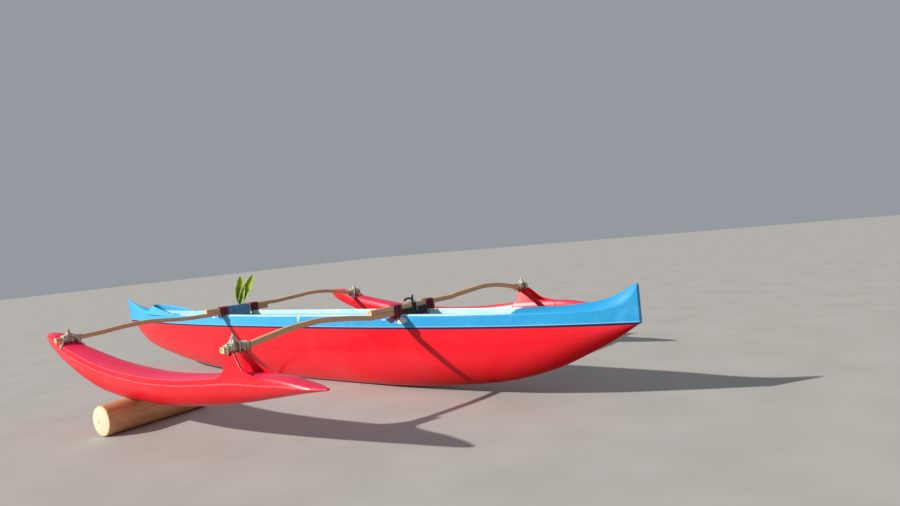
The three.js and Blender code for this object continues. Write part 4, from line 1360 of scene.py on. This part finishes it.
def make_float_lashing(name, x, side, path):
    height = float(boom_at(x, path, FLOAT_Y))
    top = height + BOOM_DEPTH / 2
    shape = Shape()
    add_boom_turns(shape, x, side, height)
    add_peg_winding(shape, x, side * FLOAT_Y, top)
    for end in (-1, 1):
        for outboard in (1, -1):
            for i in range(STRANDS):
                add_strand(shape, x, side * FLOAT_Y, top, end, side * outboard, (i + 0.5) / STRANDS)
    if x < 0:
        add_float_ties(shape, x, side, top)
    cords = shape.make(f"{name}_float_cords", [M_CORD, M_CORD_SHADED], sharp=70)
    place(cords, "grey_cord", f"{name}_float_lashing")


for name, x, side, path, _, _ in BOOMS:
    make_float_lashing(name, x, side, path)

# Cloth and webbing round the middle of the stacked booms

# Turns of the cloth round the stack, and its two edges in y
CLOTH_TURNS = 1.62
CLOTH_START = -0.06
CLOTH_Y = (-158, 140)
CLOTH_THICK = 0.0014

# Edges in y of the sling under the booms and of the band over them, and the webbing's thickness
SLING_Y = (-190, 164)
SLING_THICK = 2.4
BAND_Y = (-44, 30)
BAND_THICK = 2.2

# Steps round each corner of the stack
CORNER_STEPS = 8

# The loose end: an arched loop, an upright flap and a pale cord, as points from the stack's top
LOOP_ARCH = [(-114, 18), (-103, 30), (-76, 38), (-40, 37), (-12, 30), (-2, 22), (4, 12), (8, 0)]
LOOP_FLAP = [(-8, 0), (-6, 24), (-2, 46), (5, 66)]
LOOP_CORD = [(16, 4, 28), (24, 12, 8), (38, 14, -12), (40, 15, -50), (40, 17, -88)]


def stack_outline():
    """Points and outward directions clockwise round the two stacked booms, and the run to each."""
    half = np.array([BOOM_WIDTH / 2, BOOM_DEPTH + CLEARANCE])
    box = rounded_box(*half, BOOM_EDGE, CORNER_STEPS)
    box = np.roll(box[::-1], CORNER_STEPS + 1, axis=0)
    outs = (box - np.clip(box, BOOM_EDGE - half, half - BOOM_EDGE)) / BOOM_EDGE
    top = (0, half[1])
    points = np.vstack([top, box, top])
    outs = np.vstack([(0, 1), outs, (0, 1)])
    run = np.concatenate([[0], np.cumsum(np.linalg.norm(np.diff(points, axis=0), axis=1))])
    return points, outs, run


def round_stack(turns):
    """Points and outward directions at numbers of turns round the stack, aft side first."""
    points, outs, run = stack_outline()
    at = (np.asarray(turns) % 1) * run[-1]
    return [np.stack([np.interp(at, run, rows[:, k]) for k in (0, 1)], axis=-1) for rows in (points, outs)]


def stack_middle(x):
    return rim_height(x) + LOWER_FLAT + BOOM_DEPTH / 2 + CLEARANCE / 2


def cloth_gap(turns, y, outs):
    """The cloth's distance off the booms: it hangs below them, swells in its middle and has folds."""
    hang = np.clip(-outs[:, 1:], 0, 1)
    aside = np.abs(outs[:, :1])
    swell = 0.95 + 0.3 * np.exp(-((y / 75) ** 2)) - 0.25 * np.exp(-(((y + 25) / 18) ** 2))
    angle = 2 * np.pi * turns
    folds = 1.6 * np.sin(y / 12 + 2.2 * np.sin(angle)) + 0.8 * np.sin(y / 7.3 + 1.3 * angle)
    folds = folds + 2.4 * np.sin(y / 27 - angle)
    lifted = np.clip((turns - (CLOTH_TURNS - 0.24)) / 0.18, 0, 1) ** 2
    return 5.2 + (2 + 26 * hang + 4.5 * aside) * swell + 2.6 * turns + folds + 7 * lifted


def make_cloth():
    """A cloth wound loosely round the stacked booms, its free end lifting a little."""
    turns = np.linspace(CLOTH_START, CLOTH_START + CLOTH_TURNS, 190)
    y = np.linspace(*CLOTH_Y, 90)
    points, outs = round_stack(turns)
    turns = turns[:, None]
    gap = cloth_gap(turns, y, outs)
    x = FORE_BOOM_X + points[:, :1] + outs[:, :1] * gap
    z = stack_middle(FORE_BOOM_X) + points[:, 1:] + outs[:, 1:] * gap
    ragged = 1 + 0.03 * np.sin(5 * 2 * np.pi * turns)
    grid = grid_of(x, y * ragged, z)
    cloth = Shape().sheet(grid).make("cloth_wrap", [M_CLOTH], sharp=80, closed=False)
    thicken(cloth, CLOTH_THICK)
    place(cloth, "blue_cloth", "fore_cloth_wrap")


def stack_skin(y, turns, gap):
    """Points round the aft stack, gap off its outline: rows along y, columns round it."""
    points, outs = round_stack(turns)
    x = AFT_BOOM_X + points[:, 0] + outs[:, 0] * gap
    z = stack_middle(AFT_BOOM_X) + points[:, 1] + outs[:, 1] * gap
    return grid_of(x, y[:, None], z)


def add_webbing(shape, y, turns, gap, thick, whole):
    """Webbing as a closed skin round the stack. A whole one runs right round it."""
    outer, inner = stack_skin(y, turns, gap), stack_skin(y, turns, gap - thick)
    shape.sheet(np.concatenate([outer, inner[::-1], outer[:1]]), round_trip=whole)
    if not whole:
        for column in (0, -1):
            shape.sheet(np.stack([outer[:, column], inner[:, column]]))


def sling_gap(y, turns):
    """The sling's distance off the booms: it sags below them, less towards its ends, and has folds. Its deep
    sag is partly real webbing, partly painted shade under the booms.
    """
    y = y[:, None]
    hang = np.clip(-round_stack(turns)[1][:, 1], 0, 1)
    swell = 1 - 0.3 * (np.abs(y) / SLING_Y[1]) ** 4
    folds = 1.5 * np.sin(y / 11) + 1.1 * np.sin(y / 4.9 + 25 * turns)
    return 3.4 + 2.5 * swell + 0.5 * folds + (34 + 1.6 * folds) * hang * swell


def make_sling():
    """Webbing slung round the lower boom, and one band of it over both booms."""
    shape = Shape()
    y = np.linspace(*SLING_Y, 140)
    turns = np.linspace(0.25, 0.75, 61)
    # The sling's deep black sag stands partly for the shade under the booms: painted shade
    add_webbing(shape, y, turns, sling_gap(y, turns), SLING_THICK, whole=False)
    y = np.linspace(*BAND_Y, 32)
    turns = np.linspace(0, 1, 120, endpoint=False)
    low_down = np.clip((8 - round_stack(turns)[0][:, 1]) / 16, 0, 1)
    gap = 3.6 + low_down * (sling_gap(y, turns) - 1.4) + 0.5 * np.sin(y[:, None] / 3.1)
    add_webbing(shape, y, turns, gap, BAND_THICK, whole=True)
    place(shape.make("strap_sling", [M_STRAP], sharp=45), "black_webbing", "aft_strap_wrap")


def make_strap_loop():
    """The strap's loose end: an arched loop with an upright end, and a pale cord by its side."""
    top = stack_middle(AFT_BOOM_X) + BOOM_DEPTH + 8
    shape = Shape()
    arch = smooth_path([(AFT_BOOM_X - 3, y, top + z) for y, z in LOOP_ARCH], 6)
    tube(shape, arch, 13, 10.5, sides=12, up=(1, 0, 0))
    flap = smooth_path([(AFT_BOOM_X + 5, y, top + z) for y, z in LOOP_FLAP], 6)
    tube(shape, flap, 10, 9.5, sides=12, up=(1, 0, 0))
    cord = smooth_path([(AFT_BOOM_X + x, y, top + z) for x, y, z in LOOP_CORD], 6)
    tube(shape, cord, 3.4, paint=1)
    place(shape.make("strap_end", [M_STRAP, M_CORD], sharp=60), "black_webbing", "aft_strap_loop")


make_cloth()
make_sling()
make_strap_loop()

# Two broad leaves tucked into the cloth

# lean and turn round the stem in degrees, length, half width
LEAVES = [
    (8, -51, 356, 70),
    (31, -54, 410, 64),
]
LEAF_FOOT_Y = 32
LEAF_FOOT_RISE = 14
LEAF_FOOT_HALF = 7
LEAF_FOLD = 0.3
LEAF_BOW = 16
LEAF_WAVE = 3.5
LEAF_THICK = 0.0014


def leaf_grid(foot, lean, turn, length, half_width):
    """A leaf's points, folded along its midrib and bowed, and its UV map."""
    part = np.linspace(0, 1, 60)[:, None]
    across = np.linspace(-1, 1, 17)
    swell = np.sin(np.pi * np.minimum(part * 0.93 + 0.05, 1)) ** 0.72 * (1 - 0.1 * part)
    half = LEAF_FOOT_HALF + (half_width - LEAF_FOOT_HALF) * swell
    depth = LEAF_BOW * part**2 + half * LEAF_FOLD * np.abs(across) ** 1.2
    depth = depth + LEAF_WAVE * swell * np.sin(19 * part + 2 * across) * across**2
    local = grid_of(depth, half * across, part * length)
    spin = Matrix.Rotation(math.radians(turn), 3, "Z") @ Matrix.Rotation(math.radians(-lean), 3, "X")
    uv = grid_of(part, (across + 1) / 2)
    return local @ np.array(spin).T + np.array(foot), uv


def make_leaves():
    foot = (FORE_BOOM_X, LEAF_FOOT_Y, stack_top(FORE_BOOM_X) + LEAF_FOOT_RISE)
    shape = Shape()
    for row in LEAVES:
        shape.sheet(*leaf_grid(foot, *row))
    leaves = shape.make("leaves", [M_LEAF], sharp=80, closed=False)
    thicken(leaves, LEAF_THICK)
    place(leaves, "leaf", "leaf_sprig")


make_leaves()

# Log

# Distances from each end of the log, and how far its surface lies in there
LOG_NEAR_ROUNDING = [(0, 9), (1.5, 5), (4, 2), (9, 0)]
LOG_FAR_ROUNDING = [(9, 0), (4, 2), (0, 9)]

# Low ridges round the log: how many, where they start, and how high
LOG_RIDGES = [(3, 0.4, 0.9), (7, 1.9, 0.6), (13, 0.2, 0.4)]


def float_bottom(x, y):
    """Height of the port float's skin above a point of the floor, or a large number beside the float."""
    _, _, bottom, chine_half, chine = float_sizes(x)
    part = np.abs(y + FLOAT_Y) / chine_half
    sine = np.sqrt(1 - np.minimum(part, 1) ** (2 / FLOAT_ROUNDNESS))
    return np.where(part < 1, chine - (chine - bottom) * sine**FLOAT_ROUNDNESS, 1e6)


def make_log():
    """A log with rounded ends, clear of the floor, and pressed a little where the float rests on it."""
    near, far = np.array(LOG_NEAR_END, float), np.array(LOG_FAR_END, float)
    length = np.linalg.norm(far - near)
    along = (far - near) / length
    side = np.array([-along[1], along[0]])
    stops = [*LOG_NEAR_ROUNDING, *((length - gap, inset) for gap, inset in LOG_FAR_ROUNDING)]
    steps = np.array([0, 1.5, 4, 9, *np.linspace(16, length - 16, 90), length - 7, length - 3, length])
    inset = np.interp(steps, *zip(*stops))[:, None]
    angle = np.linspace(0, 2 * np.pi, 120, endpoint=False)
    ridges = sum(height * np.cos(count * angle + start) for count, start, height in LOG_RIDGES)
    radius = LOG_RADIUS - inset - sum(height for _, _, height in LOG_RIDGES) + ridges
    across = radius * np.cos(angle)
    x = near[0] + along[0] * steps[:, None] + side[0] * across
    y = near[1] + along[1] * steps[:, None] + side[1] * across
    z = np.maximum(LOG_RADIUS + radius * np.sin(angle), 0.2)
    grid = grid_of(x, y, np.minimum(z, float_bottom(x, y) - 0.5))
    uv = grid_of(steps[:, None] * MM, angle * LOG_RADIUS * MM)
    place(Shape().loft(grid, uv, end_paint=1).make("log", [M_LOG, M_LOG_END]), "log_wood", "support_log")


make_log()

# Floor and light

FLOOR_HALF = 60000
FLOOR_TONES = ((0.42, 0.40, 0.375), (0.455, 0.435, 0.41))
SUN_FROM = Vector((-0.509, -0.701, 0.50))
SUN_COLOUR = (1.0, 0.96, 0.90)
SUN_STRENGTH = 4.5
SUN_BREADTH = 1.2
SKY_COLOUR = (0.86, 0.92, 1.0, 1)
SKY_STRENGTH = 0.35


def make_floor():
    p = Paint("floor_paint", Roughness=0.8)
    paint = p.finish(p.coords().patches(1.5, 3, 0.5, 0.3, 0.7).mix(*FLOOR_TONES))
    edges = np.array([-FLOOR_HALF, FLOOR_HALF])
    grid = grid_of(edges[:, None], edges, 0)
    Shape().sheet(grid, flip=True).make("floor", [paint], closed=False)


def make_light():
    data = bpy.data.lights.new("sun", "SUN")
    data.energy = SUN_STRENGTH
    data.angle = math.radians(SUN_BREADTH)
    data.color = SUN_COLOUR
    sun = bpy.data.objects.new("sun", data)
    bpy.context.scene.collection.objects.link(sun)
    sun.rotation_mode = "QUATERNION"
    sun.rotation_quaternion = SUN_FROM.to_track_quat("Z", "Y")
    world = bpy.data.worlds.new("studio")
    world.use_nodes = True
    back = world.node_tree.nodes["Background"]
    back.inputs["Color"].default_value = SKY_COLOUR
    back.inputs["Strength"].default_value = SKY_STRENGTH
    bpy.context.scene.world = world
    bpy.context.scene.view_settings.view_transform = "Standard"


make_floor()
make_light()
